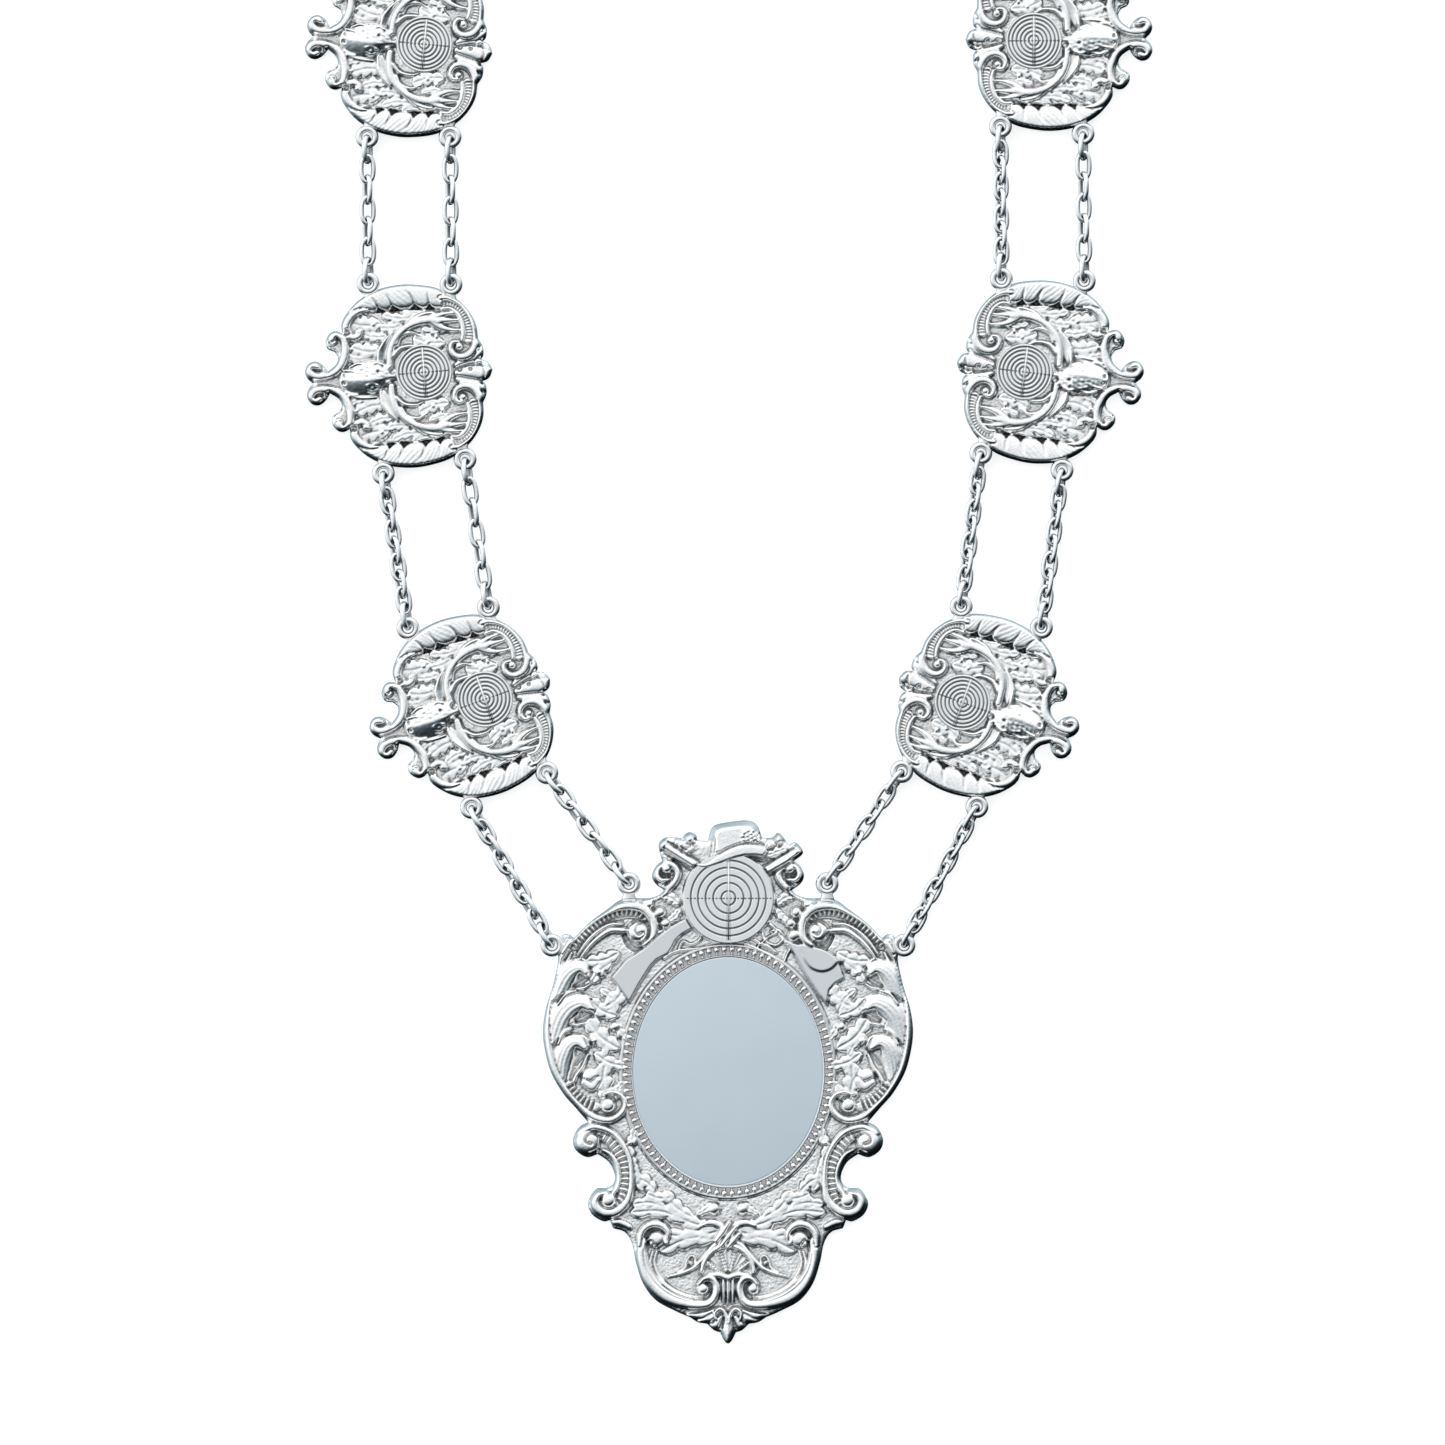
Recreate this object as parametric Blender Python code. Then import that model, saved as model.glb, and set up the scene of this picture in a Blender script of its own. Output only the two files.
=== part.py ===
"""Shooting guild chain in silver: a shield pendant, ten stag medallions and pairs of link strands.

The chain lies face up on a surface at z = 0. The origin is on the pendant's flat back, under the
middle of its oval field, with +Y towards the back ring and +Z out of the faces. Units are metres.
"""

import math

import bmesh
import bpy
from mathutils import Matrix, Vector
from mathutils.geometry import delaunay_2d_cdt, intersect_point_line

MM = 0.001

# Pendant: overall sizes, and heights above its flat back
PENDANT_WIDTH = 88.8 * MM
PENDANT_HEIGHT = 125.5 * MM
PENDANT_GROUND = 2.0 * MM
PENDANT_EDGE = 1.1 * MM
PENDANT_BEVEL = 1.6 * MM
SCROLL_HEIGHT = 4.2 * MM
SCROLL_WIDTH = 3.2 * MM
RIM_WIDTH = 2.2 * MM
LEAF_WIDTH = 4.4 * MM
LEAF_HEIGHT = 3.9 * MM
SPRIG_WIDTH = 2.2 * MM
SPRIG_HEIGHT = 3.1 * MM
BEAD_DIAMETER = 2.6 * MM
BEAD_HEIGHT = 4.0 * MM
OVAL_WIDTH = 45.8 * MM
OVAL_HEIGHT = 55.2 * MM
OVAL_DOME = 3.3 * MM
BEADING_WIDTH = 3.3 * MM
BEADING_HEIGHT = 3.9 * MM
TARGET_DIAMETER = 21.6 * MM
TARGET_HEIGHT = 4.4 * MM
TARGET_GROOVE = 0.5 * MM
HAT_HEIGHT = 5.0 * MM
HAT_BRIM_WIDTH = 3.4 * MM
HAT_WALL = 1.1 * MM
STOCK_HEIGHT = 3.4 * MM
STOCK_WALL = 0.3 * MM
BARREL_WIDTH = 2.6 * MM
KNOT_DIAMETER = 5.2 * MM
VOLUTE_DIAMETER = 7.0 * MM

# Medallion: overall sizes, and heights above its flat back
MEDALLION_LENGTH = 44.9 * MM
MEDALLION_HEIGHT = 44.2 * MM
MEDALLION_GROUND = 1.8 * MM
MEDALLION_EDGE = 1.0 * MM
MEDALLION_BEVEL = 1.5 * MM
STAG_WIDTH = 5.2 * MM
STAG_HEIGHT = 4.4 * MM
ANTLER_WIDTH = 1.8 * MM
ANTLER_HEIGHT = 3.9 * MM
MEDALLION_TARGET_DIAMETER = 13.0 * MM
MEDALLION_TARGET_HEIGHT = 3.3 * MM
MEDALLION_SCROLL_WIDTH = 2.4 * MM
MEDALLION_SCROLL_HEIGHT = 3.5 * MM
MEDALLION_LEAF_WIDTH = 3.4 * MM
MEDALLION_BALL_DIAMETER = 4.8 * MM
MEDALLION_VOLUTE_DIAMETER = 6.0 * MM

# Chain: every ring and link stands at this height above the surface
CHAIN_LEVEL = 2.6 * MM
LUG_DIAMETER = 5.3 * MM
LUG_HOLE = 2.6 * MM
LUG_THICKNESS = 1.2 * MM
LUG_TONGUE = 2.4 * MM
OUTER_LUG_SLOPE = 0.6
MEDALLION_LUG_LEAN = 0.33
JUMP_LENGTH = 7.0 * MM
JUMP_WIDTH = 5.0 * MM
JUMP_WIRE = 1.3 * MM
LINK_WIDTH = 3.7 * MM
LINK_WIRE = 0.95 * MM
LINKS_PER_STRAND = 5
FUSED_DEPTH = 0.12 * MM
WIRE_REACH = 0.55
TUBE_DIAMETER = 3.0 * MM
CLEARANCE = 0.3 * MM
JOINING_RING_DIAMETER = 8.5 * MM
JOINING_RING_WIRE = 1.3 * MM
JOINING_RING_REACH = 41.0 * MM
BACK_RING_DIAMETER = 31.0 * MM
BACK_RING_WIRE = 2.0 * MM
BACK_RING_Y = 452.0 * MM

# Route of the chain: each medallion's centre as x and y in millimetres, and its turn in degrees
LEFT_ROUTE = (
    (-61.2, 87.6, 19.5),
    (-76.1, 166.8, 4.6),
    (-76.1, 246.0, -5.2),
    (-83.0, 325.0, -12.0),
    (-66.0, 400.5, -33.0),
)
RIGHT_ROUTE = (
    (59.5, 87.8, -19.8),
    (74.4, 167.8, -6.7),
    (76.6, 247.6, 0.3),
    (83.0, 326.2, 11.0),
    (66.0, 401.5, 33.0),
)
LINKED_SPANS = 1

# Mesh fineness
LINK_STATIONS = 10
LINK_WIRE_SIDES = 5
LUG_SIDES = 7
VOLUTE_SIDES = 7
BALL_SIDES = 6
TARGET_SIDES = 20
TARGET_RINGS = 6
MEDALLION_VOLUTE_SIDES = 6
MEDALLION_TARGET_SIDES = 10
MEDALLION_TARGET_RINGS = 2
OVAL_SIDES = 40
BACK_RING_STATIONS = 20
BACK_RING_SIDES = 5
TUBE_RESOLUTION = 2
SHARP_ANGLE = math.radians(30)
NEAREST_POINTS = 0.25 * MM
NEAREST_EDGE = 0.3
WELD_DISTANCE = 0.01 * MM
HIDDEN_DEPTH = 0.4 * MM
FOOT_REACH = 1.12
SHOULDER_STEP = 5

# Shares of a turned form's radius or height
VOLUTE_CREST = 0.7
VOLUTE_HOLLOW = 0.35
BALL_FLAT = 0.45
TARGET_LIP = 0.96

SILVER_COLOUR = (0.86, 0.88, 0.90, 1.0)
SILVER_ROUGHNESS = 0.22

# Outlines and paths are shares (x, y) of half the plate's width and height from its centre.
# The pendant's right edge, in smooth runs that meet in corners, from the gun barrel to the tip
PENDANT_EDGE_RUNS = (
    ((0.357, 0.803), (0.389, 0.784), (0.411, 0.750), (0.395, 0.719), (0.346, 0.692)),
    ((0.346, 0.692), (0.373, 0.673), (0.427, 0.662), (0.497, 0.662), (0.578, 0.656), (0.659, 0.616),
     (0.746, 0.570), (0.832, 0.509)),
    ((0.832, 0.509), (0.865, 0.524), (0.897, 0.516), (0.919, 0.463), (0.919, 0.417), (0.946, 0.329),
     (0.984, 0.241), (1.000, 0.157), (0.989, 0.080), (0.957, -0.004), (0.892, -0.084),
     (0.822, -0.141), (0.757, -0.195)),
    ((0.757, -0.195), (0.805, -0.214), (0.838, -0.260), (0.822, -0.302), (0.762, -0.329),
     (0.703, -0.317)),
    ((0.703, -0.317), (0.643, -0.348), (0.611, -0.398), (0.622, -0.432), (0.659, -0.447)),
    ((0.659, -0.447), (0.714, -0.451), (0.757, -0.501), (0.735, -0.547), (0.676, -0.574),
     (0.638, -0.570)),
    ((0.638, -0.570), (0.622, -0.600)),
    ((0.622, -0.600), (0.557, -0.616), (0.519, -0.658), (0.497, -0.730), (0.459, -0.811),
     (0.389, -0.876), (0.281, -0.918), (0.205, -0.941)),
    ((0.205, -0.941), (0.162, -0.960), (0.114, -0.966)),
    ((0.114, -0.966), (0.076, -0.990), (0.043, -0.998)),
    ((0.043, -0.998), (0.022, -1.029), (0.000, -1.044)),
)
# The crest above the pendant, from the left gun barrel over the hat to the right one
PENDANT_CREST = (
    (-0.357, 0.803), (-0.373, 0.849), (-0.373, 0.872), (-0.346, 0.891), (-0.303, 0.895),
    (-0.249, 0.891), (-0.232, 0.906), (-0.205, 0.914), (-0.173, 0.902), (-0.162, 0.883),
    (-0.108, 0.880), (-0.097, 0.914), (-0.070, 0.941), (0.022, 0.954), (0.108, 0.958),
    (0.157, 0.941), (0.184, 0.893), (0.238, 0.893), (0.270, 0.912), (0.303, 0.891),
    (0.330, 0.864), (0.357, 0.876), (0.384, 0.864), (0.405, 0.834), (0.357, 0.803),
)
TARGET_CENTRE = (0.005, 0.662)
OVAL_CENTRE = (0.0, 0.0)
HAT_CROWN = (
    (-0.092, 0.822), (-0.092, 0.910), (-0.059, 0.941), (0.032, 0.952), (0.119, 0.952),
    (0.162, 0.929), (0.178, 0.891), (0.184, 0.845),
)
HAT_BRIM = (
    (-0.168, 0.788), (-0.086, 0.788), (0.000, 0.815), (0.092, 0.837), (0.162, 0.834), (0.205, 0.826),
)
LEFT_STOCK = (
    (-0.222, 0.589), (-0.324, 0.551), (-0.411, 0.501), (-0.535, 0.436), (-0.638, 0.363),
    (-0.530, 0.256), (-0.459, 0.333), (-0.373, 0.428), (-0.286, 0.482), (-0.178, 0.539),
)
RIGHT_STOCK = (
    (0.211, 0.562), (0.303, 0.486), (0.405, 0.379), (0.530, 0.249), (0.562, 0.310), (0.632, 0.348),
    (0.595, 0.417), (0.519, 0.463), (0.411, 0.478), (0.330, 0.535), (0.259, 0.570),
)
# Ridges on both halves of the pendant: kind of ridge and its path on the right half
PENDANT_RIDGES = (
    ("rim", ((0.843, 0.486), (0.789, 0.539), (0.714, 0.585), (0.632, 0.620), (0.541, 0.639),
             (0.459, 0.623), (0.416, 0.589), (0.405, 0.551))),
    ("sprig", ((0.789, 0.444), (0.746, 0.486), (0.686, 0.524), (0.627, 0.547), (0.578, 0.554))),
    ("rim", ((0.270, 0.723), (0.314, 0.685), (0.378, 0.654))),
    ("scroll", ((0.908, 0.444), (0.930, 0.329), (0.957, 0.214), (0.950, 0.099), (0.912, 0.004),
                (0.847, -0.073), (0.778, -0.130), (0.692, -0.172), (0.616, -0.180))),
    ("scroll", ((0.692, -0.241), (0.632, -0.268), (0.584, -0.314), (0.562, -0.371),
                (0.562, -0.428), (0.584, -0.482), (0.622, -0.524))),
    ("scroll", ((0.422, -0.600), (0.465, -0.639), (0.476, -0.704), (0.454, -0.772),
                (0.400, -0.830), (0.324, -0.872), (0.227, -0.891), (0.141, -0.887),
                (0.076, -0.864))),
    ("leaf", ((0.908, 0.417), (0.832, 0.417), (0.778, 0.398), (0.735, 0.371))),
    ("leaf", ((0.957, 0.272), (0.876, 0.302), (0.800, 0.294), (0.724, 0.264))),
    ("leaf", ((0.968, 0.138), (0.892, 0.172), (0.822, 0.157), (0.762, 0.119))),
    ("sprig", ((0.638, 0.195), (0.640, 0.099), (0.622, 0.004))),
    ("barrel", ((0.373, 0.845), (0.216, 0.784))),
    ("rim", ((0.151, -0.769), (0.130, -0.707), (0.076, -0.673), (0.000, -0.658))),
    ("sprig", ((0.038, -0.646), (0.108, -0.692), (0.189, -0.750), (0.303, -0.784))),
    ("sprig", ((0.043, -0.593), (0.184, -0.577), (0.335, -0.539), (0.486, -0.516))),
    ("sprig", ((0.108, -0.539), (0.254, -0.493), (0.389, -0.428), (0.497, -0.340))),
    ("sprig", ((0.011, -0.899), (0.070, -0.979))),
    ("sprig", ((0.027, -0.899), (0.151, -0.948))),
)
# Ridges on the pendant's middle line
PENDANT_MIDDLE_RIDGES = (
    ("sprig", ((0.000, -0.772), (0.000, -0.700))),
    ("rim", ((0.000, -0.790), (0.000, -0.891))),
    ("rim", ((0.000, -0.905), (0.000, -1.025))),
)
# Scroll ends on both halves of the pendant: centre, and share of the largest common diameter
PENDANT_VOLUTES = (
    ((0.492, 0.539), 1.1),
    ((0.330, 0.757), 0.7),
    ((0.649, -0.134), 0.9),
    ((0.757, -0.264), 1.0),
    ((0.676, -0.505), 1.0),
    ((0.389, -0.642), 0.75),
    ((0.119, -0.834), 0.75),
)
PENDANT_BEADS = (
    (0.557, 0.646), (0.486, 0.652), (0.416, 0.641), (0.362, 0.600), (0.341, 0.554), (0.370, 0.512),
    (0.611, 0.164), (0.730, -0.023), (0.034, -0.530),
)
KNOT_CENTRE = (0.0, -0.620)
PENDANT_INNER_LUG = (0.535, 0.717)
PENDANT_OUTER_LUG = (0.950, 0.482)

# The medallion's upper edge, from the snout's scroll to the crest on the inner side
MEDALLION_EDGE_RUNS = (
    ((-1.048, 0.000), (-1.118, 0.090), (-1.090, 0.205), (-0.980, 0.235), (-0.877, 0.120)),
    ((-0.877, 0.120), (-0.775, 0.200), (-0.780, 0.320)),
    ((-0.780, 0.320), (-0.875, 0.390), (-0.850, 0.515), (-0.727, 0.522)),
    ((-0.727, 0.522), (-0.690, 0.650), (-0.530, 0.835), (-0.310, 0.960), (-0.050, 1.000),
     (0.220, 0.960), (0.470, 0.850), (0.650, 0.680), (0.730, 0.490), (0.727, 0.326)),
    ((0.727, 0.326), (0.790, 0.220), (0.759, 0.120)),
    ((0.759, 0.120), (0.830, 0.080), (0.877, 0.000)),
)
MEDALLION_TARGET_CENTRE = (0.147, 0.0)
STAG_HEAD = ((-0.727, 0.0), (-0.535, 0.0), (-0.342, 0.0), (-0.182, 0.0))
# Ridges on both halves of the medallion: kind of ridge and its path on the upper half
MEDALLION_RIDGES = (
    ("antler", ((-0.235, 0.109), (-0.215, 0.320), (-0.060, 0.480), (0.257, 0.570), (0.406, 0.500),
                (0.535, 0.435))),
    ("antler", ((0.257, 0.576), (0.374, 0.685))),
    ("antler", ((0.406, 0.500), (0.545, 0.620))),
    ("scroll", ((0.460, 0.793), (0.588, 0.696), (0.663, 0.543), (0.652, 0.402))),
    ("leaf", ((-0.642, 0.652), (-0.440, 0.820), (-0.150, 0.905), (0.150, 0.895), (0.374, 0.820))),
    ("scroll", ((-0.960, 0.100), (-0.791, 0.105), (-0.700, 0.290), (-0.800, 0.446))),
)
MEDALLION_MIDDLE_RIDGES = (("leaf", ((0.642, 0.000), (0.845, 0.000))),)
# Scroll ends on both halves of the medallion: centre, and share of the largest one's diameter
MEDALLION_VOLUTES = (
    ((0.535, 0.272), 0.87),
    ((-0.583, 0.565), 1.0),
)
MEDALLION_BALL = (-1.016, 0.136)
MEDALLION_LUGS = ((-0.374, 1.033), (0.508, 0.951))


def scaled(table, half_x, half_y):
    """Points of a table of shares, at real size."""
    return [Vector((x * half_x, y * half_y)) for x, y in table]


def flipped(points, sign_x, sign_y):
    """Points mirrored in one or both middle lines."""
    return [Vector((p.x * sign_x, p.y * sign_y)) for p in points]


def joined_runs(runs, half_x, half_y):
    """One open outline through runs that share their end points."""
    points = []
    for run in runs:
        points += scaled(run, half_x, half_y)[:-1]
    return points + scaled(runs[-1], half_x, half_y)[-1:]


def offset_path(path, distance):
    """A path moved sideways to its left, by the normals at its points."""
    moved = []
    for i, point in enumerate(path):
        along = path[min(i + 1, len(path) - 1)] - path[max(i - 1, 0)]
        moved.append(point + Vector((-along.y, along.x)).normalized() * distance)
    return moved


def distance_to(path, point, closed=False):
    """Distance from a point to a path of straight pieces."""
    ends = path[1:] + path[:1] if closed else path[1:]
    best = math.inf
    for a, b in zip(path, ends):
        foot, share = intersect_point_line(point, a, b)
        nearest = a if share < 0 else b if share > 1 else foot.xy
        best = min(best, (point - nearest).length)
    return best


def is_inside(polygon, point):
    """Whether a point lies in a closed polygon, by counting crossings."""
    crossings = 0
    for a, b in zip(polygon, polygon[1:] + polygon[:1]):
        if (a.y > point.y) != (b.y > point.y):
            crossings += point.x < a.x + (b.x - a.x) * (point.y - a.y) / (b.y - a.y)
    return crossings % 2 == 1


class Relief:
    """A cast plate with a flat back: its outline, and forms laid on its ground one after another."""

    def __init__(self, outline, ground, edge, bevel):
        self.outline = outline
        self.ground = ground
        self.edge = edge
        self.bevel = bevel
        self.forms = []
        self.lines = []
        shoulder = offset_path([outline[-1]] + outline + [outline[0]], bevel)[1:-1]
        self.follow(shoulder[::SHOULDER_STEP], None, False)

    def follow(self, points, level, closed):
        """A line that the mesh follows where it shows at this level, or at any level if it is None."""
        self.lines.append((points, level, closed))

    def ridge(self, path, width, top):
        """A rounded ridge along a path."""
        half = width / 2
        self.follow(path, top, False)
        for foot in (half * FOOT_REACH, -half * FOOT_REACH):
            self.follow(offset_path(path, foot), self.ground, False)

        def form(point, below):
            share = distance_to(path, point) / half
            if share >= 1:
                return below
            return max(below, self.ground + (top - self.ground) * math.sqrt(1 - share * share))

        self.forms.append(form)

    def turned(self, centre, half_x, half_y, profile, sides):
        """A round or oval form, from a profile of (share of the radius, height) from the rim inwards."""
        angles = [2 * math.pi * i / sides for i in range(sides)]
        for share, level in profile:
            ring = [Vector((math.cos(a) * half_x, math.sin(a) * half_y)) * share for a in angles]
            ring = [centre + p for p in ring] if share else [centre]
            self.follow(ring, level, len(ring) > 1)

        def form(point, below):
            share = math.hypot((point.x - centre.x) / half_x, (point.y - centre.y) / half_y)
            if share > profile[0][0]:
                return below
            for (outer, outer_top), (inner, inner_top) in zip(profile, profile[1:]):
                if share >= inner:
                    return outer_top + (inner_top - outer_top) * (outer - share) / (outer - inner)
            return profile[-1][1]

        self.forms.append(form)

    def plateau(self, polygon, top, wall):
        """A flat-topped form with sloping walls inside a polygon."""
        inner = offset_path([polygon[-1]] + polygon + [polygon[0]], wall)[1:-1]
        if not is_inside(polygon, inner[0]):
            inner = offset_path([polygon[-1]] + polygon + [polygon[0]], -wall)[1:-1]
        self.follow(polygon, self.ground, True)
        self.follow(inner, top, True)

        def form(point, below):
            if not is_inside(polygon, point):
                return below
            share = min(1, distance_to(polygon, point, closed=True) / wall)
            return max(below, self.ground + (top - self.ground) * share)

        self.forms.append(form)

    def top(self, point):
        """Height of the forms above the back."""
        top = self.ground
        for form in self.forms:
            top = form(point, top)
        return top

    def height(self, point):
        """Height of the face above the back, rolled down to the edge all round."""
        share = min(1, distance_to(self.outline, point, closed=True) / self.bevel)
        return self.edge + (self.top(point) - self.edge) * math.sqrt(share * (2 - share))

    def shows(self, point, level):
        """Whether a point at this level lies on the face, clear of the outline and under no other form."""
        if not is_inside(self.outline, point):
            return False
        if distance_to(self.outline, point, closed=True) < self.bevel * NEAREST_EDGE:
            return False
        return level is None or abs(self.top(point) - level) < HIDDEN_DEPTH

    def build(self, name):
        """A closed mesh object: the face, a wall round the outline and a flat back."""
        points = list(self.outline)
        edges = []
        for line, level, closed in self.lines:
            kept = [self.shows(point, level) for point in line]
            places = []
            for point, shown in zip(line, kept):
                places.append(len(points) if shown else None)
                if shown:
                    points.append(point)
            pairs = zip(places, places[1:] + places[:1] if closed else places[1:])
            edges += [(a, b) for a, b in pairs if a is not None and b is not None]
        outline_face = [list(range(len(self.outline)))]
        flat, _, faces, _, _, sources = delaunay_2d_cdt(points, edges, outline_face, 0, NEAREST_POINTS)
        faces = [face for face, source in zip(faces, sources) if source]
        following = {}
        for face in faces:
            for a, b in zip(face, face[1:] + face[:1]):
                following[a, b] = b
        border = {a: b for a, b in following if (b, a) not in following}
        loop = [next(iter(border))]
        while border[loop[-1]] != loop[0]:
            loop.append(border[loop[-1]])
        mesh = bmesh.new()
        used = sorted({i for face in faces for i in face})
        top = {i: mesh.verts.new((*flat[i], self.height(flat[i]))) for i in used}
        back = {i: mesh.verts.new((*flat[i], 0)) for i in loop}
        for face in faces:
            mesh.faces.new([top[i] for i in face])
        for a in loop:
            b = border[a]
            mesh.faces.new((back[a], back[b], top[b], top[a]))
        mesh.faces.new([back[i] for i in reversed(loop)])
        return object_from(mesh, name)


def object_from(mesh, name):
    """A scene object that holds a bmesh."""
    data = bpy.data.meshes.new(name)
    mesh.to_mesh(data)
    mesh.free()
    thing = bpy.data.objects.new(name, data)
    bpy.context.collection.objects.link(thing)
    return thing


def united(body, added, name):
    """A new object from the Boolean union of two, which it replaces."""
    union = body.modifiers.new("union", "BOOLEAN")
    union.operation = "UNION"
    union.object = added
    bpy.context.view_layer.update()
    evaluated = body.evaluated_get(bpy.context.evaluated_depsgraph_get())
    data = bpy.data.meshes.new_from_object(evaluated)
    for used in (body, added):
        bpy.data.objects.remove(used)
    data.name = name
    thing = bpy.data.objects.new(name, data)
    bpy.context.collection.objects.link(thing)
    return thing


def silver():
    """Bright polished silver."""
    material = bpy.data.materials.new("silver")
    material.use_nodes = True
    shader = material.node_tree.nodes["Principled BSDF"]
    shader.inputs["Base Color"].default_value = SILVER_COLOUR
    shader.inputs["Metallic"].default_value = 1.0
    shader.inputs["Roughness"].default_value = SILVER_ROUGHNESS
    return material


def add_lug(mesh, centre, inward):
    """A flat ring with a tongue that reaches into the plate."""
    heading = math.atan2(inward.y, inward.x)
    rings = []
    for top in (CHAIN_LEVEL - LUG_THICKNESS / 2, CHAIN_LEVEL + LUG_THICKNESS / 2):
        outer = []
        inner = []
        for i in range(LUG_SIDES):
            turn = 2 * math.pi * i / LUG_SIDES
            side = Vector((math.cos(heading + turn), math.sin(heading + turn)))
            reach = side * LUG_DIAMETER / 2
            if i == 0:
                reach += Vector((math.cos(heading), math.sin(heading))) * LUG_TONGUE
            outer.append(mesh.verts.new((*(centre + reach), top)))
            inner.append(mesh.verts.new((*(centre + side * LUG_HOLE / 2), top)))
        rings.append((outer, inner))
    (low_outer, low_inner), (high_outer, high_inner) = rings
    for i in range(LUG_SIDES):
        j = (i + 1) % LUG_SIDES
        mesh.faces.new((high_outer[i], high_outer[j], high_inner[j], high_inner[i]))
        mesh.faces.new((low_inner[i], low_inner[j], low_outer[j], low_outer[i]))
        mesh.faces.new((low_outer[i], low_outer[j], high_outer[j], high_outer[i]))
        mesh.faces.new((high_inner[i], high_inner[j], low_inner[j], low_inner[i]))


def with_lugs(plate, lugs, name):
    """A plate with its soldered lugs, each given as (centre, direction into the plate)."""
    mesh = bmesh.new()
    for centre, inward in lugs:
        add_lug(mesh, centre, inward)
    return united(plate, object_from(mesh, "lugs"), name)


def volute_profile(ground, top):
    """Profile of a scroll's end: a raised turn round a hollow."""
    hollow = ground + (top - ground) * VOLUTE_HOLLOW
    return ((1.0, ground), (VOLUTE_CREST, top), (0.0, hollow))


def ball_profile(ground, top):
    """Profile of a ball with a small flat on top."""
    return ((1.0, ground), (BALL_FLAT, top))


def target_profile(ground, top, groove, rings):
    """Profile of a target: its rings are raised and sunken by turns."""
    profile = [(1.0, ground)]
    for i in range(rings + 1):
        share = TARGET_LIP * (1 - i / rings)
        profile.append((share, top - groove * (i % 2)))
    return profile


def pendant_outline():
    half_x, half_y = PENDANT_WIDTH / 2, PENDANT_HEIGHT / 2
    right = joined_runs(PENDANT_EDGE_RUNS, half_x, half_y)
    crest = scaled(PENDANT_CREST, half_x, half_y)
    left = flipped(reversed(right), -1, 1)
    return list(reversed(crest))[:-1] + left[::-1][:-1] + right[::-1][:-1]


def build_pendant():
    half_x, half_y = PENDANT_WIDTH / 2, PENDANT_HEIGHT / 2
    relief = Relief(pendant_outline(), PENDANT_GROUND, PENDANT_EDGE, PENDANT_BEVEL)
    ridge_sizes = {
        "scroll": (SCROLL_WIDTH, SCROLL_HEIGHT),
        "rim": (RIM_WIDTH, SCROLL_HEIGHT),
        "leaf": (LEAF_WIDTH, LEAF_HEIGHT),
        "sprig": (SPRIG_WIDTH, SPRIG_HEIGHT),
        "barrel": (BARREL_WIDTH, LEAF_HEIGHT),
    }
    for sign in (1, -1):
        for kind, path in PENDANT_RIDGES:
            relief.ridge(flipped(scaled(path, half_x, half_y), sign, 1), *ridge_sizes[kind])
        for centre, share in PENDANT_VOLUTES:
            middle = flipped(scaled([centre], half_x, half_y), sign, 1)[0]
            radius = VOLUTE_DIAMETER * share / 2
            profile = volute_profile(PENDANT_GROUND, SCROLL_HEIGHT)
            relief.turned(middle, radius, radius, profile, VOLUTE_SIDES)
    for kind, path in PENDANT_MIDDLE_RIDGES:
        relief.ridge(scaled(path, half_x, half_y), *ridge_sizes[kind])
    for stock in (LEFT_STOCK, RIGHT_STOCK):
        relief.plateau(scaled(stock, half_x, half_y), STOCK_HEIGHT, STOCK_WALL)
    bead = BEAD_DIAMETER / 2
    ball = ball_profile(PENDANT_GROUND, BEAD_HEIGHT)
    for centre in PENDANT_BEADS:
        for sign in (1, -1):
            middle = flipped(scaled([centre], half_x, half_y), sign, 1)[0]
            relief.turned(middle, bead, bead, ball, BALL_SIDES)
    knot = KNOT_DIAMETER / 2
    relief.turned(scaled([KNOT_CENTRE], half_x, half_y)[0], knot, knot, ball, BALL_SIDES)
    add_oval(relief, scaled([OVAL_CENTRE], half_x, half_y)[0])
    radius = TARGET_DIAMETER / 2
    rings = target_profile(PENDANT_GROUND, TARGET_HEIGHT, TARGET_GROOVE, TARGET_RINGS)
    relief.turned(scaled([TARGET_CENTRE], half_x, half_y)[0], radius, radius, rings, TARGET_SIDES)
    relief.plateau(scaled(HAT_CROWN, half_x, half_y), HAT_HEIGHT, HAT_WALL)
    relief.ridge(scaled(HAT_BRIM, half_x, half_y), HAT_BRIM_WIDTH, HAT_HEIGHT)
    return with_lugs(relief.build("pendant_plate"), pendant_lugs(), "pendant")


def add_oval(relief, centre):
    """The domed oval field inside its raised border."""
    half_x, half_y = OVAL_WIDTH / 2 + BEADING_WIDTH, OVAL_HEIGHT / 2 + BEADING_WIDTH
    field = OVAL_WIDTH / 2 / half_x
    middle = (1 + field) / 2
    profile = (
        (1.0, relief.ground),
        (middle, BEADING_HEIGHT),
        (field, relief.ground),
        (0.0, OVAL_DOME),
    )
    relief.turned(centre, half_x, half_y, profile, OVAL_SIDES)


def pendant_lugs():
    """Centres of the pendant's lugs and the directions from them into the plate: left, then right."""
    half_x, half_y = PENDANT_WIDTH / 2, PENDANT_HEIGHT / 2
    lugs = []
    for sign in (-1, 1):
        outer = flipped(scaled([PENDANT_OUTER_LUG], half_x, half_y), sign, 1)[0]
        inner = flipped(scaled([PENDANT_INNER_LUG], half_x, half_y), sign, 1)[0]
        lugs.append((outer, Vector((-sign, -OUTER_LUG_SLOPE))))
        lugs.append((inner, Vector((0, -1))))
    return lugs


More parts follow.
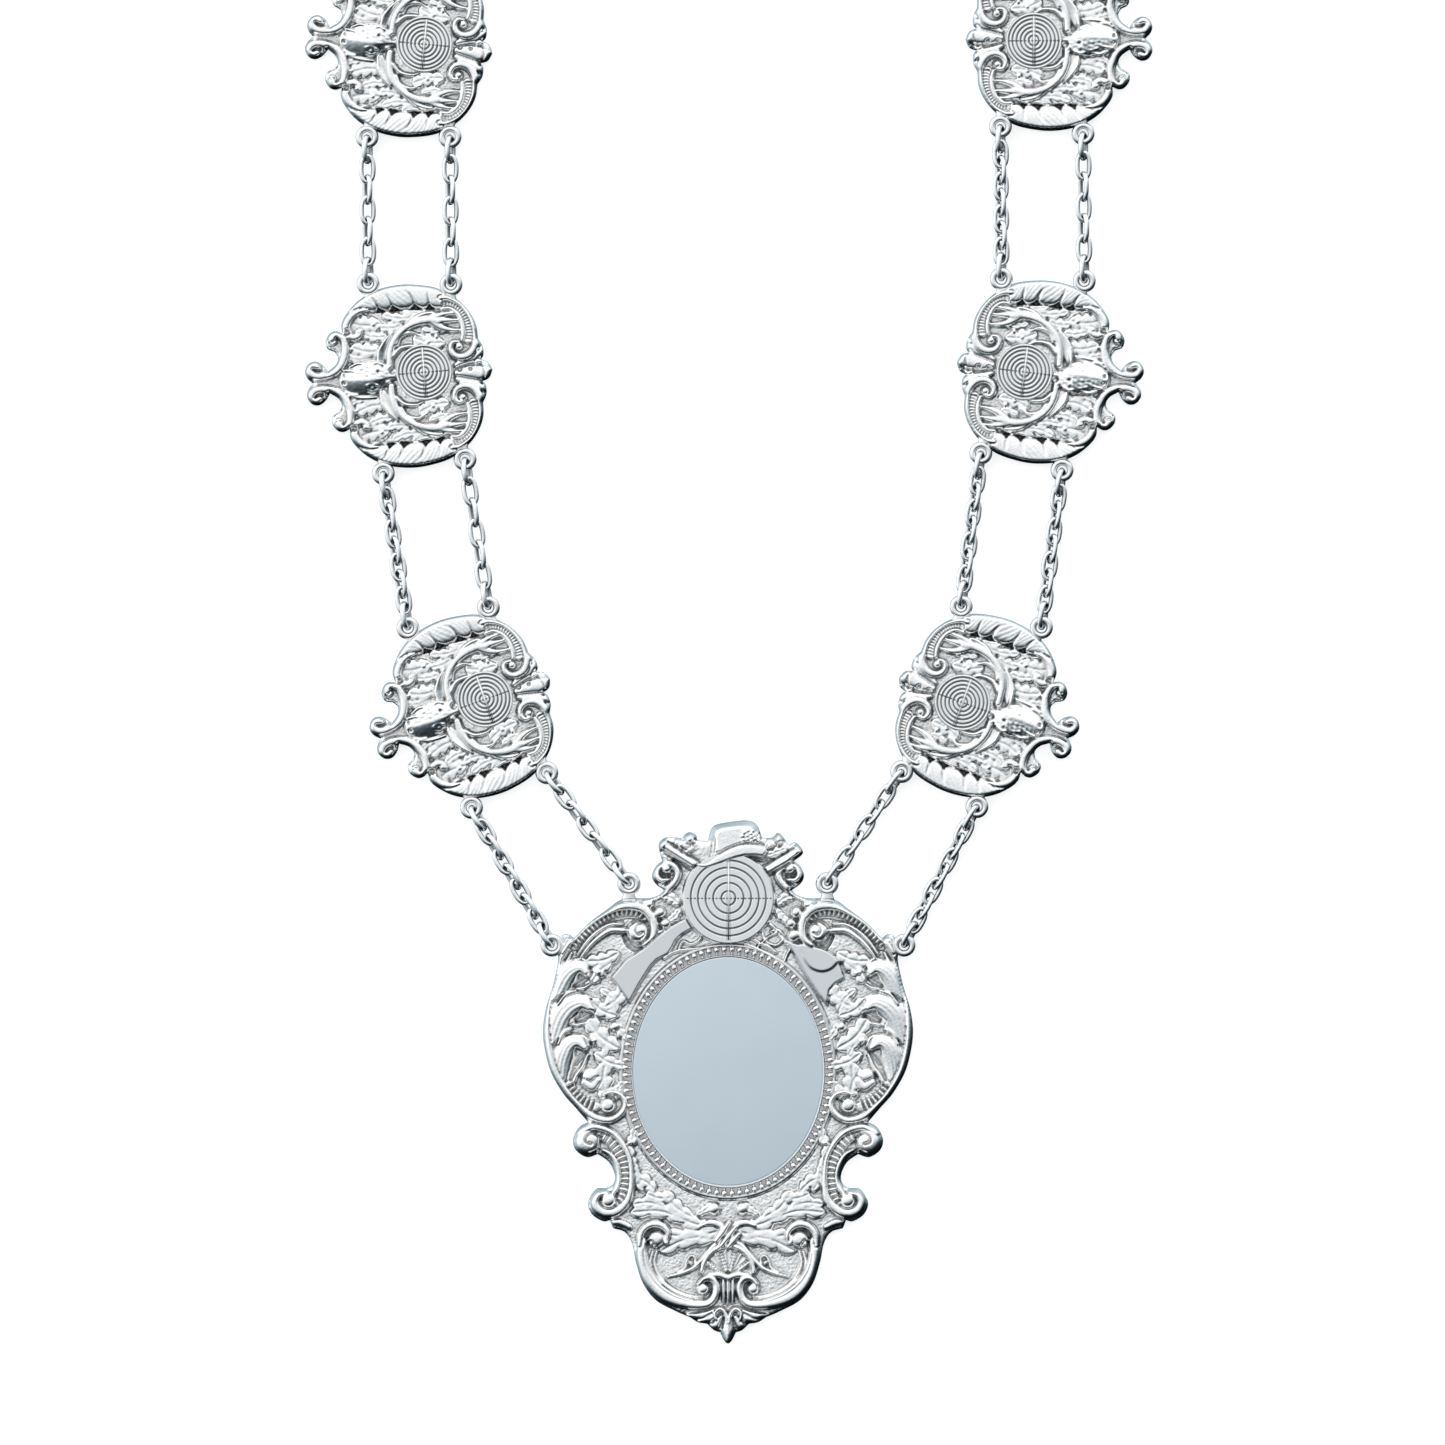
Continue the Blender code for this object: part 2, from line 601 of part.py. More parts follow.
def build_medallion():
    half_x, half_y = MEDALLION_LENGTH / 2, MEDALLION_HEIGHT / 2
    upper = joined_runs(MEDALLION_EDGE_RUNS, half_x, half_y)
    outline = flipped(upper, 1, -1)[:-1] + list(reversed(upper))[:-1]
    relief = Relief(outline, MEDALLION_GROUND, MEDALLION_EDGE, MEDALLION_BEVEL)
    ridge_sizes = {
        "antler": (ANTLER_WIDTH, ANTLER_HEIGHT),
        "scroll": (MEDALLION_SCROLL_WIDTH, MEDALLION_SCROLL_HEIGHT),
        "leaf": (MEDALLION_LEAF_WIDTH, MEDALLION_SCROLL_HEIGHT),
    }
    radius = MEDALLION_TARGET_DIAMETER / 2
    centre = scaled([MEDALLION_TARGET_CENTRE], half_x, half_y)[0]
    top = MEDALLION_TARGET_HEIGHT
    rings = target_profile(MEDALLION_GROUND, top, TARGET_GROOVE, MEDALLION_TARGET_RINGS)
    relief.turned(centre, radius, radius, rings, MEDALLION_TARGET_SIDES)
    ball = MEDALLION_BALL_DIAMETER / 2
    round_top = ball_profile(MEDALLION_GROUND, MEDALLION_SCROLL_HEIGHT)
    volute = volute_profile(MEDALLION_GROUND, MEDALLION_SCROLL_HEIGHT)
    for sign in (1, -1):
        for kind, path in MEDALLION_RIDGES:
            relief.ridge(flipped(scaled(path, half_x, half_y), 1, sign), *ridge_sizes[kind])
        for place, share in MEDALLION_VOLUTES:
            middle = flipped(scaled([place], half_x, half_y), 1, sign)[0]
            radius = MEDALLION_VOLUTE_DIAMETER * share / 2
            relief.turned(middle, radius, radius, volute, MEDALLION_VOLUTE_SIDES)
        middle = flipped(scaled([MEDALLION_BALL], half_x, half_y), 1, sign)[0]
        relief.turned(middle, ball, ball, round_top, BALL_SIDES)
    for kind, path in MEDALLION_MIDDLE_RIDGES:
        relief.ridge(scaled(path, half_x, half_y), *ridge_sizes[kind])
    relief.ridge(scaled(STAG_HEAD, half_x, half_y), STAG_WIDTH, STAG_HEIGHT)
    return with_lugs(relief.build("medallion_plate"), medallion_lugs(), "medallion")


def medallion_lugs():
    """Centres of a medallion's lugs and the directions from them into the plate.

    The order is outer and inner lug of the upper edge, then outer and inner lug of the lower edge.
    """
    half_x, half_y = MEDALLION_LENGTH / 2, MEDALLION_HEIGHT / 2
    lugs = []
    for sign in (1, -1):
        for centre in flipped(scaled(MEDALLION_LUGS, half_x, half_y), 1, sign):
            lugs.append((centre, Vector((-centre.x * MEDALLION_LUG_LEAN, -sign * half_y))))
    return lugs


def add_link(
    mesh, start, length, width, wire, upright, stations=LINK_STATIONS, sides=LINK_WIRE_SIDES
):
    """A closed link along +X, flat or standing upright; a corner of its wire faces inwards."""
    bend = (width - wire) / 2
    straight = (length - wire) / 2 - bend
    per_end = stations // 2
    rings = []
    for i in range(stations):
        end, step = divmod(i, per_end)
        turn = math.pi * (step / (per_end - 1) - 0.5 + end)
        outward = Vector((math.cos(turn), math.sin(turn), 0))
        centre = outward * bend + Vector((straight * (1 - 2 * end), 0, 0))
        ring = []
        for k in range(sides):
            around = 2 * math.pi * k / sides
            spoke = -math.cos(around) * outward + Vector((0, 0, math.sin(around)))
            point = centre + spoke * wire * WIRE_REACH
            if upright:
                point = Vector((point.x, -point.z, point.y))
            ring.append(mesh.verts.new(point + Vector((start + length / 2, 0, 0))))
        rings.append(ring)
    for i, ring in enumerate(rings):
        following = rings[(i + 1) % stations]
        for k in range(sides):
            j = (k + 1) % sides
            mesh.faces.new((ring[k], ring[j], following[j], following[k]))


def linked_strand(name, span):
    """A jump ring, links that lie flat and stand upright by turns, and a second jump ring, fused."""
    jump_reach = JUMP_LENGTH - JUMP_WIRE
    jump_seat = (JUMP_WIRE + LINK_WIRE) / 2 - FUSED_DEPTH
    link_seat = LINK_WIRE - FUSED_DEPTH
    seats = 2 * jump_seat + (LINKS_PER_STRAND - 1) * link_seat
    link_reach = (span - 2 * jump_reach + seats) / LINKS_PER_STRAND
    upright = bmesh.new()
    flat = bmesh.new()
    for wire_centre in (0, span - jump_reach):
        start = wire_centre - JUMP_WIRE / 2
        add_link(upright, start, JUMP_LENGTH, JUMP_WIDTH, JUMP_WIRE, True)
    for i in range(LINKS_PER_STRAND):
        wire_centre = jump_reach - jump_seat + i * (link_reach - link_seat)
        start = wire_centre - LINK_WIRE / 2
        stands = i % 2 == 1
        links = upright if stands else flat
        add_link(links, start, link_reach + LINK_WIRE, LINK_WIDTH, LINK_WIRE, stands)
    return united(object_from(upright, "upright_links"), object_from(flat, "flat_links"), name)


def round_ring(name, diameter, wire, stations, sides):
    """A plain round ring lying flat about the origin."""
    mesh = bmesh.new()
    add_link(mesh, -diameter / 2, diameter, diameter, wire, False, stations, sides)
    bmesh.ops.remove_doubles(mesh, verts=mesh.verts, dist=WELD_DISTANCE)
    return object_from(mesh, name)


def tube_strand(name, start, end):
    """The plain tube of a strand."""
    curve = bpy.data.curves.new(name, "CURVE")
    curve.dimensions = "3D"
    curve.bevel_depth = TUBE_DIAMETER / 2
    curve.bevel_resolution = TUBE_RESOLUTION
    curve.use_fill_caps = True
    spline = curve.splines.new("POLY")
    spline.points.add(1)
    for spot, point in zip(spline.points, (start, end)):
        spot.co = (*point, 1)
    thing = bpy.data.objects.new(name, curve)
    bpy.context.collection.objects.link(thing)
    return thing


def placed_lugs(place, mirrored_side):
    """World places of a medallion's lugs: (outer, inner) towards the back ring, then the other way."""
    x, y, turn = place
    heading = math.radians(turn) + (math.pi if mirrored_side else 0)
    spin = Matrix.Rotation(heading, 2)
    spots = [Vector((x, y)) * MM + spin @ centre for centre, _ in medallion_lugs()]
    upper, lower = spots[:2], spots[2:]
    return (lower, upper) if mirrored_side else (upper, lower)


def strand_between(name, start, end, start_gap, end_gap, linked):
    """A strand between two lugs, or a lug and a ring, whose metal it clears by the gaps."""
    level = Vector((0, 0, CHAIN_LEVEL))
    along = end - start
    if linked:
        strand = linked_strand(name, along.length)
        strand.location = start.to_3d() + level
        strand.rotation_euler.z = math.atan2(along.y, along.x)
        return strand
    unit = along.normalized()
    return tube_strand(
        name,
        (start + unit * (start_gap + CLEARANCE)).to_3d() + level,
        (end - unit * (end_gap + CLEARANCE)).to_3d() + level,
    )


def build_side(side, route, medallion, first_lugs, mirrored_side):
    """The medallions and strands of one side, from the pendant to the back ring."""
    pieces = []
    lug_reach = LUG_DIAMETER / 2
    from_lugs = first_lugs
    for i, place in enumerate(route):
        x, y, turn = place
        plate = bpy.data.objects.new(f"{side}_medallion_{i + 1}", medallion.data)
        bpy.context.collection.objects.link(plate)
        plate.location = (x * MM, y * MM, 0)
        plate.rotation_euler.z = math.radians(turn) + (math.pi if mirrored_side else 0)
        pieces.append(plate)
        onward, backward = placed_lugs(place, mirrored_side)
        for row, start, end in zip(("outer", "inner"), from_lugs, backward):
            name = f"{side}_{row}_strand_{i + 1}"
            pieces.append(strand_between(name, start, end, lug_reach, lug_reach, i < LINKED_SPANS))
        from_lugs = onward
    last = Vector(route[-1][:2]) * MM
    back = Vector((0, BACK_RING_Y))
    joint = last + (back - last).normalized() * JOINING_RING_REACH
    ring_reach = JOINING_RING_DIAMETER / 2
    for row, start in zip(("outer", "inner"), from_lugs):
        name = f"{side}_{row}_strand_{len(route) + 1}"
        pieces.append(strand_between(name, start, joint, lug_reach, ring_reach, False))
    joining = round_ring(
        f"{side}_joining_ring", JOINING_RING_DIAMETER, JOINING_RING_WIRE, LINK_STATIONS, LINK_WIRE_SIDES
    )
    joining.location = joint.to_3d() + Vector((0, 0, CHAIN_LEVEL))
    pieces.append(joining)
    back_reach = BACK_RING_DIAMETER / 2
    pieces.append(strand_between(f"{side}_end_strand", joint, back, ring_reach, back_reach, False))
    return pieces


def build_back_ring():
    """The plain back ring, tilted so that its far edge touches the surface."""
    ring = round_ring(
        "back_ring", BACK_RING_DIAMETER, BACK_RING_WIRE, BACK_RING_STATIONS, BACK_RING_SIDES
    )
    drop = CHAIN_LEVEL - BACK_RING_WIRE * WIRE_REACH
    ring.location = (0, BACK_RING_Y, CHAIN_LEVEL)
    ring.rotation_euler.x = -math.asin(drop / (BACK_RING_DIAMETER / 2 - BACK_RING_WIRE / 2))
    return ring


def build_chain():
    for thing in list(bpy.data.objects):
        bpy.data.objects.remove(thing)
    pendant = build_pendant()
    medallion = build_medallion()
    lugs = [centre for centre, _ in pendant_lugs()]
    pieces = [pendant, build_back_ring()]
    pieces += build_side("left", LEFT_ROUTE, medallion, lugs[:2], False)
    pieces += build_side("right", RIGHT_ROUTE, medallion, lugs[2:], True)
    bpy.data.objects.remove(medallion)
    chain = bpy.data.objects.new("guild_chain", None)
    bpy.context.collection.objects.link(chain)
    material = silver()
    for piece in pieces:
        piece.parent = chain
        piece.data.materials.clear()
        piece.data.materials.append(material)
        if piece.type == "MESH":
            piece.data.shade_smooth()
            piece.data.set_sharp_from_angle(angle=SHARP_ANGLE)


build_chain()
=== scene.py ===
"""Looks of the silver shooting guild chain: cast relief, polished fields, wire links and light.

Relief tables hold points as read on the photograph: one unit is 0.24 mm, x runs right and y runs
down, and the pendant's oval is centred on PENDANT_CENTRE. A medallion's tables are in its own
axes, u towards its inner crest and v upwards, in the same unit. Heights are in millimetres.
"""

import math

import bpy
import numpy as np
from mathutils import Matrix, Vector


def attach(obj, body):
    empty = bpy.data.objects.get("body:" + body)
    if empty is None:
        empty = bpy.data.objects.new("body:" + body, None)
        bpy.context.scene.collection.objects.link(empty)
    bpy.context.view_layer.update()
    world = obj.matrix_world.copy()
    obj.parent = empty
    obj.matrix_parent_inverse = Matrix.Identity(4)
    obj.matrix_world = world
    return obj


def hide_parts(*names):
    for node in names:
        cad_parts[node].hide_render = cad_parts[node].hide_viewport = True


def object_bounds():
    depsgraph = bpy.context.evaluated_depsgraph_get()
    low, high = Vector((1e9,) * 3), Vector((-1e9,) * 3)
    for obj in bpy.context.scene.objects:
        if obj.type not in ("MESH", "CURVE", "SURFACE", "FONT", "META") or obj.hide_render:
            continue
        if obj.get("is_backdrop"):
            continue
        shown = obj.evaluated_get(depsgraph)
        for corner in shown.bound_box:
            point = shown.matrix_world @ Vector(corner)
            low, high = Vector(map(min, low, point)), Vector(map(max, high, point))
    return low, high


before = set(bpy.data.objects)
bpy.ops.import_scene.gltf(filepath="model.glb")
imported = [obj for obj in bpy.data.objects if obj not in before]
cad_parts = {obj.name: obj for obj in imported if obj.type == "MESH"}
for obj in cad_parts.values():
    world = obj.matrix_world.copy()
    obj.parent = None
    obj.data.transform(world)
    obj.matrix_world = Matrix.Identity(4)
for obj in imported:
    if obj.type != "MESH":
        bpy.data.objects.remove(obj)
cad_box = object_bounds()

MM = 0.001
UNIT = 0.24 * MM
PENDANT_CENTRE = (728.0, 1071.0)
PICTURE_SIZE = 1445
CAMERA_HEIGHT = 2.4
CAMERA_FAR = 20.0

# Pendant, with its levels as in the CAD model. A hole is where a piece of its own covers the face.
PENDANT_GROUND = 2.0
PENDANT_EDGE = 1.1
PENDANT_BEVEL = 6.5
SCROLL_TOP = 4.2
SPRIG_TOP = 3.0
STOCK_TOP = 3.4
HAT_TOP = 5.0
BEAD_TOP = 4.0
TARGET_TOP = 4.4
TARGET_HOLE = (43, 43)
OVAL_HALF = (95.5, 115.0)
OVAL_HOLE = (104, 124)
OVAL_TOP = 3.3
OVAL_CROWN = 0.35
# The rim round the oval field: reach of its middle, width, foot and top; the wall: reach and level
OVAL_RIM = (95.9, 1.9, 2.4, 3.4)
OVAL_GROUND = ((105, 125, 2.2), (94.5, 112.5, 2.2))
OVAL_WALL = ((110.6, 1.9), (109.6, 2.45), (107.8, 2.95), (105.8, 3.1), (104.4, 2.7))
BEADS = 92
# Each row of beads round the oval: reach from its centre, half size, level and rise
BEAD_ROW = (102.5, (3.8, 3.1), 2.85, 0.95)
STUD_ROW = (98.2, (1.4, 1.9), 2.6, 0.6)
BEAD_SIDES = 12
BEAD_SECTION = ((1.0, -0.6), (0.97, 0.1), (0.82, 0.55), (0.55, 0.85), (0.25, 0.98))
# How dark each ring of a bead is, from its foot up: patina and painted shade where beads meet the ground
BEAD_SHADE_AND_PATINA = (0.8, 0.12, 0.0, 0.0, 0.0)

# Medallion
MEDALLION_GROUND = 1.8
MEDALLION_EDGE = 1.0
MEDALLION_BEVEL = 4.5
MEDALLION_SCROLL_TOP = 3.5
MEDALLION_TARGET_TOP = 3.3
MEDALLION_TARGET_HOLE = (25.5, 25.5)
ANTLER_TOP = 3.55

# Both targets: a groove's section as (offset, share of its depth), the level line's dashes and the
# upright's bars as (left, right, height over the disc, how dark it is)
GROOVE_SECTION = ((1.5, 0), (1.0, 0), (0.4, 1), (-0.4, 1), (-1.0, 0), (-1.5, 0))
DASH_PITCH = 3.6
DASH_LENGTH = 2.5
DASH_HALF = 0.8
DASH_HEIGHT = 0.02
UPRIGHT = ((-1.9, -1.1, 0.02, 0.7), (-0.7, 0.7, 0.05, 0.1), (1.1, 1.9, 0.02, 0.7))

# Chain, in millimetres. The web between lug and plate has a half width and a half thickness, each
# as its value at the lug and what it gains towards the plate; a ring has its size and its wire.
CHAIN_LEVEL = 2.6
LUG_RADIUS = 1.97
LUG_WIRE = 1.6
WEB_LENGTH = 2.6
WEB_HALF = (1.05, 0.75)
WEB_THICK = (0.55, -0.1)
WEB_STATIONS = 5
LINK_LENGTH = 7.5
LINK_WIDTH = 4.1
LINK_WIRE = 1.15
JUMP_LENGTH = 7.2
JUMP_WIDTH = 5.0
JUMP_WIRE = 1.3
JUMP_LEAN = 70.0
LINK_LEANS = (10.0, -60.0)
LEAN_SWAY = 5.0
WIRE_STATIONS = 22
WIRE_SIDES = 10
# How dark the wire's inner side is made: patina and painted shade
WIRE_INNER_SHADE_AND_PATINA = 0.75
JOINING_RING = (8.5, 1.3)
BACK_RING = (31.0, 2.0)
JOINING_REACH = 41.0
BACK_RING_Y = 452.0

# Medallions from the pendant up: centre in millimetres and lean in degrees
LEFT_ROUTE = (
    (-61.2, 87.6, 19.5), (-76.1, 166.8, 4.6), (-76.1, 246.0, -5.2), (-83.0, 325.0, -12.0),
    (-66.0, 400.5, -33.0),
)
RIGHT_ROUTE = (
    (59.5, 87.8, -19.8), (74.4, 167.8, -6.7), (76.6, 247.6, 0.3), (83.0, 326.2, 11.0),
    (66.0, 401.5, 33.0),
)
SIDES = (("left", LEFT_ROUTE, 0.0), ("right", RIGHT_ROUTE, math.pi))

# Lug centres in millimetres: the pendant's left and right pairs and the medallion's upper and
# lower ones. Each place is a share of the plate's half size.
PENDANT_HALF = (44.4, 62.75)
MEDALLION_HALF = (22.45, 22.1)
PENDANT_LUGS = [(sign * x * PENDANT_HALF[0], y * PENDANT_HALF[1])
                for sign in (-1, 1) for x, y in ((0.950, 0.482), (0.535, 0.717))]
MEDALLION_LUGS = [(x * MEDALLION_HALF[0], sign * y * MEDALLION_HALF[1])
                  for sign in (1, -1) for x, y in ((-0.374, 1.033), (0.508, 0.951))]
# How much an outer web of the pendant falls for each step inwards, and how much a medallion's web
# leans for each millimetre from its lug to the middle line
PENDANT_WEB_FALL = 0.6
MEDALLION_WEB_LEAN = 0.015

# Relief grid: its cell, a distance beyond any on it, the steps between two points of a curve, how
# near the outline its last points may lie, and how wide the border is that keeps no patina or painted shade
CELL = 0.98
FAR = 1e9
CURVE_STEPS = 6
RIM_GAP = 0.12
RIM_WIDTH = 4

# Cast skin, as heights in millimetres, and the reach and depth of creases and of wide hollows
SKIN_SEED = 5
SKIN_GRAIN = 1.0
SKIN_GROUND = 0.018
SKIN_FORMS = 0.008
FORM_BLUR = 0.8
HOLLOWS = ((2.6, 0.42), (8, 0.6))

# Silver and floor
POLISHED_SILVER = (0.70, 0.715, 0.735, 1)
# Colour of the wire's darkened inner side: patina and painted shade
WIRE_SHADE_AND_PATINA_COLOUR = (0.06, 0.075, 0.085, 1)
FLOOR_SIZE = 4.0
FLOOR_PLACE = (0, 0.08, -0.0001)
FLOOR_GREY = (0.5, 0.5, 0.5, 1)
FLOOR_GLOW = 0.74

# Studio light: the side it comes from, and its colour from the dark side to the bright one
LIGHT_SIDE = (-0.36, 0.93, 0.0)
LIGHT_RAMP = (
    (0.00, (0.003, 0.005, 0.006)), (0.18, (0.006, 0.009, 0.011)), (0.28, (0.020, 0.030, 0.035)),
    (0.36, (0.10, 0.13, 0.145)), (0.43, (0.43, 0.48, 0.51)), (0.475, (0.74, 0.785, 0.81)),
    (0.50, (0.88, 0.91, 0.93)), (0.54, (1.06, 1.06, 1.06)), (0.64, (1.38, 1.36, 1.33)),
    (0.86, (1.30, 1.30, 1.30)), (1.0, (0.60, 0.72, 0.78)),
)
# Share of that light left for a surface that stands nearly upright, by the height it mirrors
LOW_LIGHT = (
    (0.0, (0.24, 0.31, 0.34)), (0.25, (0.62, 0.73, 0.78)), (0.42, (1.0, 1.0, 1.0)),
)


# Curves and sections


def smooth(points, closed=False):
    """Points along a smooth curve through the given ones."""
    p = np.array(points, float)
    if closed:
        p = np.vstack([p[-1], p, p[0], p[1]])
    else:
        p = np.vstack([2 * p[0] - p[1], p, 2 * p[-1] - p[-2]])
    t = np.arange(CURVE_STEPS)[:, None] / CURVE_STEPS
    found = np.vstack([
        b + 0.5 * t * (c - a + t * (2 * a - 5 * b + 4 * c - d + t * (3 * (b - c) + d - a)))
        for a, b, c, d in zip(p, p[1:], p[2:], p[3:])
    ])
    return found if closed else np.vstack([found, p[-2]])


def runs(parts):
    """One outline through smooth runs that meet in corners."""
    return np.vstack([smooth(part)[:-1] for part in parts] + [np.array(parts[-1][-1:], float)])


def spread(values, share):
    """One number or a list of them, spread evenly along a path whose points have these shares."""
    return np.interp(share, np.linspace(0, 1, np.size(values)), np.atleast_1d(values))


def unit(vector):
    """The same direction with length 1."""
    return vector / math.hypot(*vector)


def blurred(values, sigma):
    """Gaussian blur of a grid, by its spectrum."""
    rows, cols = values.shape
    fy = np.fft.fftfreq(rows)[:, None]
    fx = np.fft.rfftfreq(cols)[None, :]
    keep = np.exp(-2 * (math.pi * sigma) ** 2 * (fx * fx + fy * fy))
    return np.fft.irfft2(np.fft.rfft2(values) * keep, s=values.shape)


def roll(s, power=2):
    """1 in the middle and 0 at both sides, rounder with a low power and steeper with a high one."""
    return np.sqrt(np.clip(1 - np.abs(s) ** power, 0, 1))


def rounded(s, run, total):
    """A half-round section. Sections take the place across, -1 to 1, the run along and its total; this one
    does not use the run or the total.
    """
    return roll(s)


def pillow(s, run, total):
    """A flat-topped ridge with steep sides."""
    return roll(s, 4.4) * (1 - 0.10 * s * s)


def ribbed(low, rise, pitch, gap=-0.1, side=1, reach=2.0):
    """A channel crossed by ribs; those that stop short have a side and a reach below 1."""
    def section(s, run, total):
        ribs = (np.cos(2 * math.pi * run / pitch) > gap) & (s * side < reach)
        return roll(s, 8) * (low + rise * ribs)
    return section


def acanthus(out, pitch, flute, slant):
    """A fluted leaf border, smooth on the side named by out and lobed on the other one."""
    def section(s, run, total):
        t = s * out
        along = run + 2.5 * np.sin(run * 0.13)
        lobe = np.abs(np.sin(math.pi * (along + slant * 0.45 * t) / pitch))
        edge = 0.60 + 0.40 * lobe**0.5
        q = np.where(t < 0, -t / edge, t)
        crest = 1 - 0.14 * np.clip(-t, 0, 1) ** 1.6 - 0.10 * np.clip(t, 0, 1) ** 2
        lines = 0.018 * np.cos(2 * math.pi * (along + slant * t) / flute)
        gash = 0.42 * np.exp(-((lobe / 0.17) ** 2)) * np.clip(0.35 - t * 1.2, 0, 1)
        return np.where(q < 1, roll(q, 6) * (crest + lines - gash), -1)
    return section


def fluted(turn):
    """A broad lobe with flutes along it, rising towards its end."""
    def section(s, run, total):
        share = run / total
        lines = 0.026 * np.cos(2 * math.pi * 3.2 * s) * np.clip(3 * share, 0, 1)
        swell = 0.62 + 0.38 * np.sin(math.pi * np.clip(share * 1.05, 0, 1) ** 1.7 * 0.62)
        return roll(s, 2.4) * (swell + lines - 0.10 * turn * s)
    return section


def oak(s, run, total):
    """Lobed sides, a sunken midrib and a droop at the edges."""
    share = np.clip(run / total, 0, 1)
    outline = 1.62 * share**0.5 * (1 - share) ** 0.42
    wave = np.abs(np.sin(math.pi * (3 * share - 0.30 * np.abs(s) + 0.08)))
    t = np.abs(s) / np.maximum(outline * (0.60 + 0.40 * wave**0.6), 0.03)
    vein = 0.19 * np.exp(-((s / 0.07) ** 2))
    dip = 0.20 * (1 - wave) ** 2 * np.clip(np.abs(s) * 2, 0, 1)
    return np.where(t < 1, roll(t, 6) * (1 - vein - dip), -1)


class Field:
    """A plate's face as a grid of heights that forms are laid on one after another."""

    def __init__(self, outline, ground, edge, bevel, axis, middle):
        self.outline = np.vstack([outline, outline[:1]])
        self.ground, self.edge, self.bevel = ground, edge, bevel
        self.axis, self.middle, self.turn = axis, middle, 1
        self.fine = CELL / 2
        self.low = self.outline.min(0) - 3 * CELL
        high = self.outline.max(0) + 3 * CELL
        size = np.ceil((high - self.low) / self.fine).astype(int) // 2 * 2 + 1
        self.x, self.y = np.meshgrid(*(self.low[i] + np.arange(size[i]) * self.fine for i in (0, 1)))
        self.height = np.full(self.x.shape, float(ground))
        self.polish = np.zeros(self.x.shape)
        self.stipple = np.ones(self.x.shape)

    def halves(self):
        """Gives 1, and then -1 while every form is mirrored in the plate's middle line."""
        for turn in (1, -1):
            self.turn = turn
            yield turn
        self.turn = 1

    def placed(self, points):
        """Points as an array, mirrored in the second half."""
        points = np.array(points, float)
        if self.turn < 0:
            points[..., self.axis] = 2 * self.middle - points[..., self.axis]
        return points

    def curve(self, path):
        """A placed path, smooth where it has more than two points."""
        path = self.placed(path)
        return smooth(path) if len(path) > 2 else path

    def window(self, low, high):
        """Slices of the grid that cover a box."""
        a = np.clip(np.floor((low - self.low) / self.fine).astype(int), 0, None)
        b = np.ceil((high - self.low) / self.fine).astype(int) + 1
        return slice(a[1], max(b[1], a[1])), slice(a[0], max(b[0], a[0]))

    def nearest(self, path, reach):
        """Window round a path, with each point's distance, side and run along it, and its length."""
        box = self.window(path.min(0) - reach, path.max(0) + reach)
        x, y = self.x[box], self.y[box]
        far = np.full(x.shape, FAR)
        side = np.ones(x.shape)
        run = np.zeros(x.shape)
        total = 0.0
        for a, b in zip(path, path[1:]):
            d = b - a
            length = math.hypot(*d)
            if length < 1e-6:
                continue
            near = self.window(np.minimum(a, b) - reach, np.maximum(a, b) + reach)
            part = tuple(slice(n.start - whole.start, n.stop - whole.start) for n, whole in zip(near, box))
            dx, dy = x[part] - a[0], y[part] - a[1]
            t = np.clip((dx * d[0] + dy * d[1]) / length**2, 0, 1)
            gap = np.hypot(dx - t * d[0], dy - t * d[1])
            new = gap < far[part]
            far[part][new] = gap[new]
            side[part][new] = np.sign(d[0] * dy - d[1] * dx)[new]
            run[part][new] = (total + t * length)[new]
            total += length
        return box, far, side, run, total

    def disc(self, centre, radius):
        """Window round a spot, with each point's distance from it as a share of the radius."""
        centre = self.placed(centre)
        box = self.window(centre - radius, centre + radius)
        return box, np.hypot(self.x[box] - centre[0], self.y[box] - centre[1]) / radius

    def inside(self, ring):
        """Which grid points a closed outline holds."""
        found = np.zeros(self.x.shape, bool)
        ys, xs = self.y[:, 0], self.x[0]
        for a, b in zip(ring, ring[1:]):
            if a[1] == b[1]:
                continue
            rows = np.nonzero((ys > min(a[1], b[1])) & (ys <= max(a[1], b[1])))[0]
            cross = a[0] + (b[0] - a[0]) * (ys[rows] - a[1]) / (b[1] - a[1])
            for row, at in zip(rows, cross):
                found[row, : np.searchsorted(xs, at)] ^= True
        return found

    def lay(self, box, inside, height, over=False, polish=0.0):
        """Puts heights where inside is set: over what is there, or only where they are higher."""
        now = self.height[box]
        put = inside if over else inside & (height > now)
        now[put] = height[put]
        self.polish[box][put] = polish
        self.stipple[box][put] = 0.0

    def ridge(self, path, width, top, section=rounded, over=False, base=None, cut=False):
        """A form along a path, with round or cut ends. Widths and tops may be lists spread along it."""
        box, far, side, run, total = self.nearest(self.curve(path), np.max(width) / 2)
        share = run / total
        s = side * far / np.maximum(spread(width, share) / 2, 1e-6)
        inside = np.abs(s) < 1
        if cut:
            inside &= (run > 0) & (run < total)
        base = self.ground if base is None else base
        self.lay(box, inside, base + (spread(top, share) - base) * section(s, run, total), over)

    def bar(self, path, width, top, section=pillow, base=None):
        """A ridge over what it crosses."""
        self.ridge(path, width, top, section, over=True, base=base)

    def leaf(self, root, tip, width, top, bend=0.0):
        """An oak leaf."""
        root, tip = np.array(root, float), np.array(tip, float)
        along = tip - root
        middle = (root + tip) / 2 + bend * np.array([-along[1], along[0]])
        self.ridge((root, middle, tip), width, top, oak)

    def ball(self, centre, radius, top, base=None, flat=1.0):
        """A round boss."""
        box, r = self.disc(centre, radius)
        base = self.ground if base is None else base
        self.lay(box, r < 1, base + (top - base) * roll(r, 2 * flat))

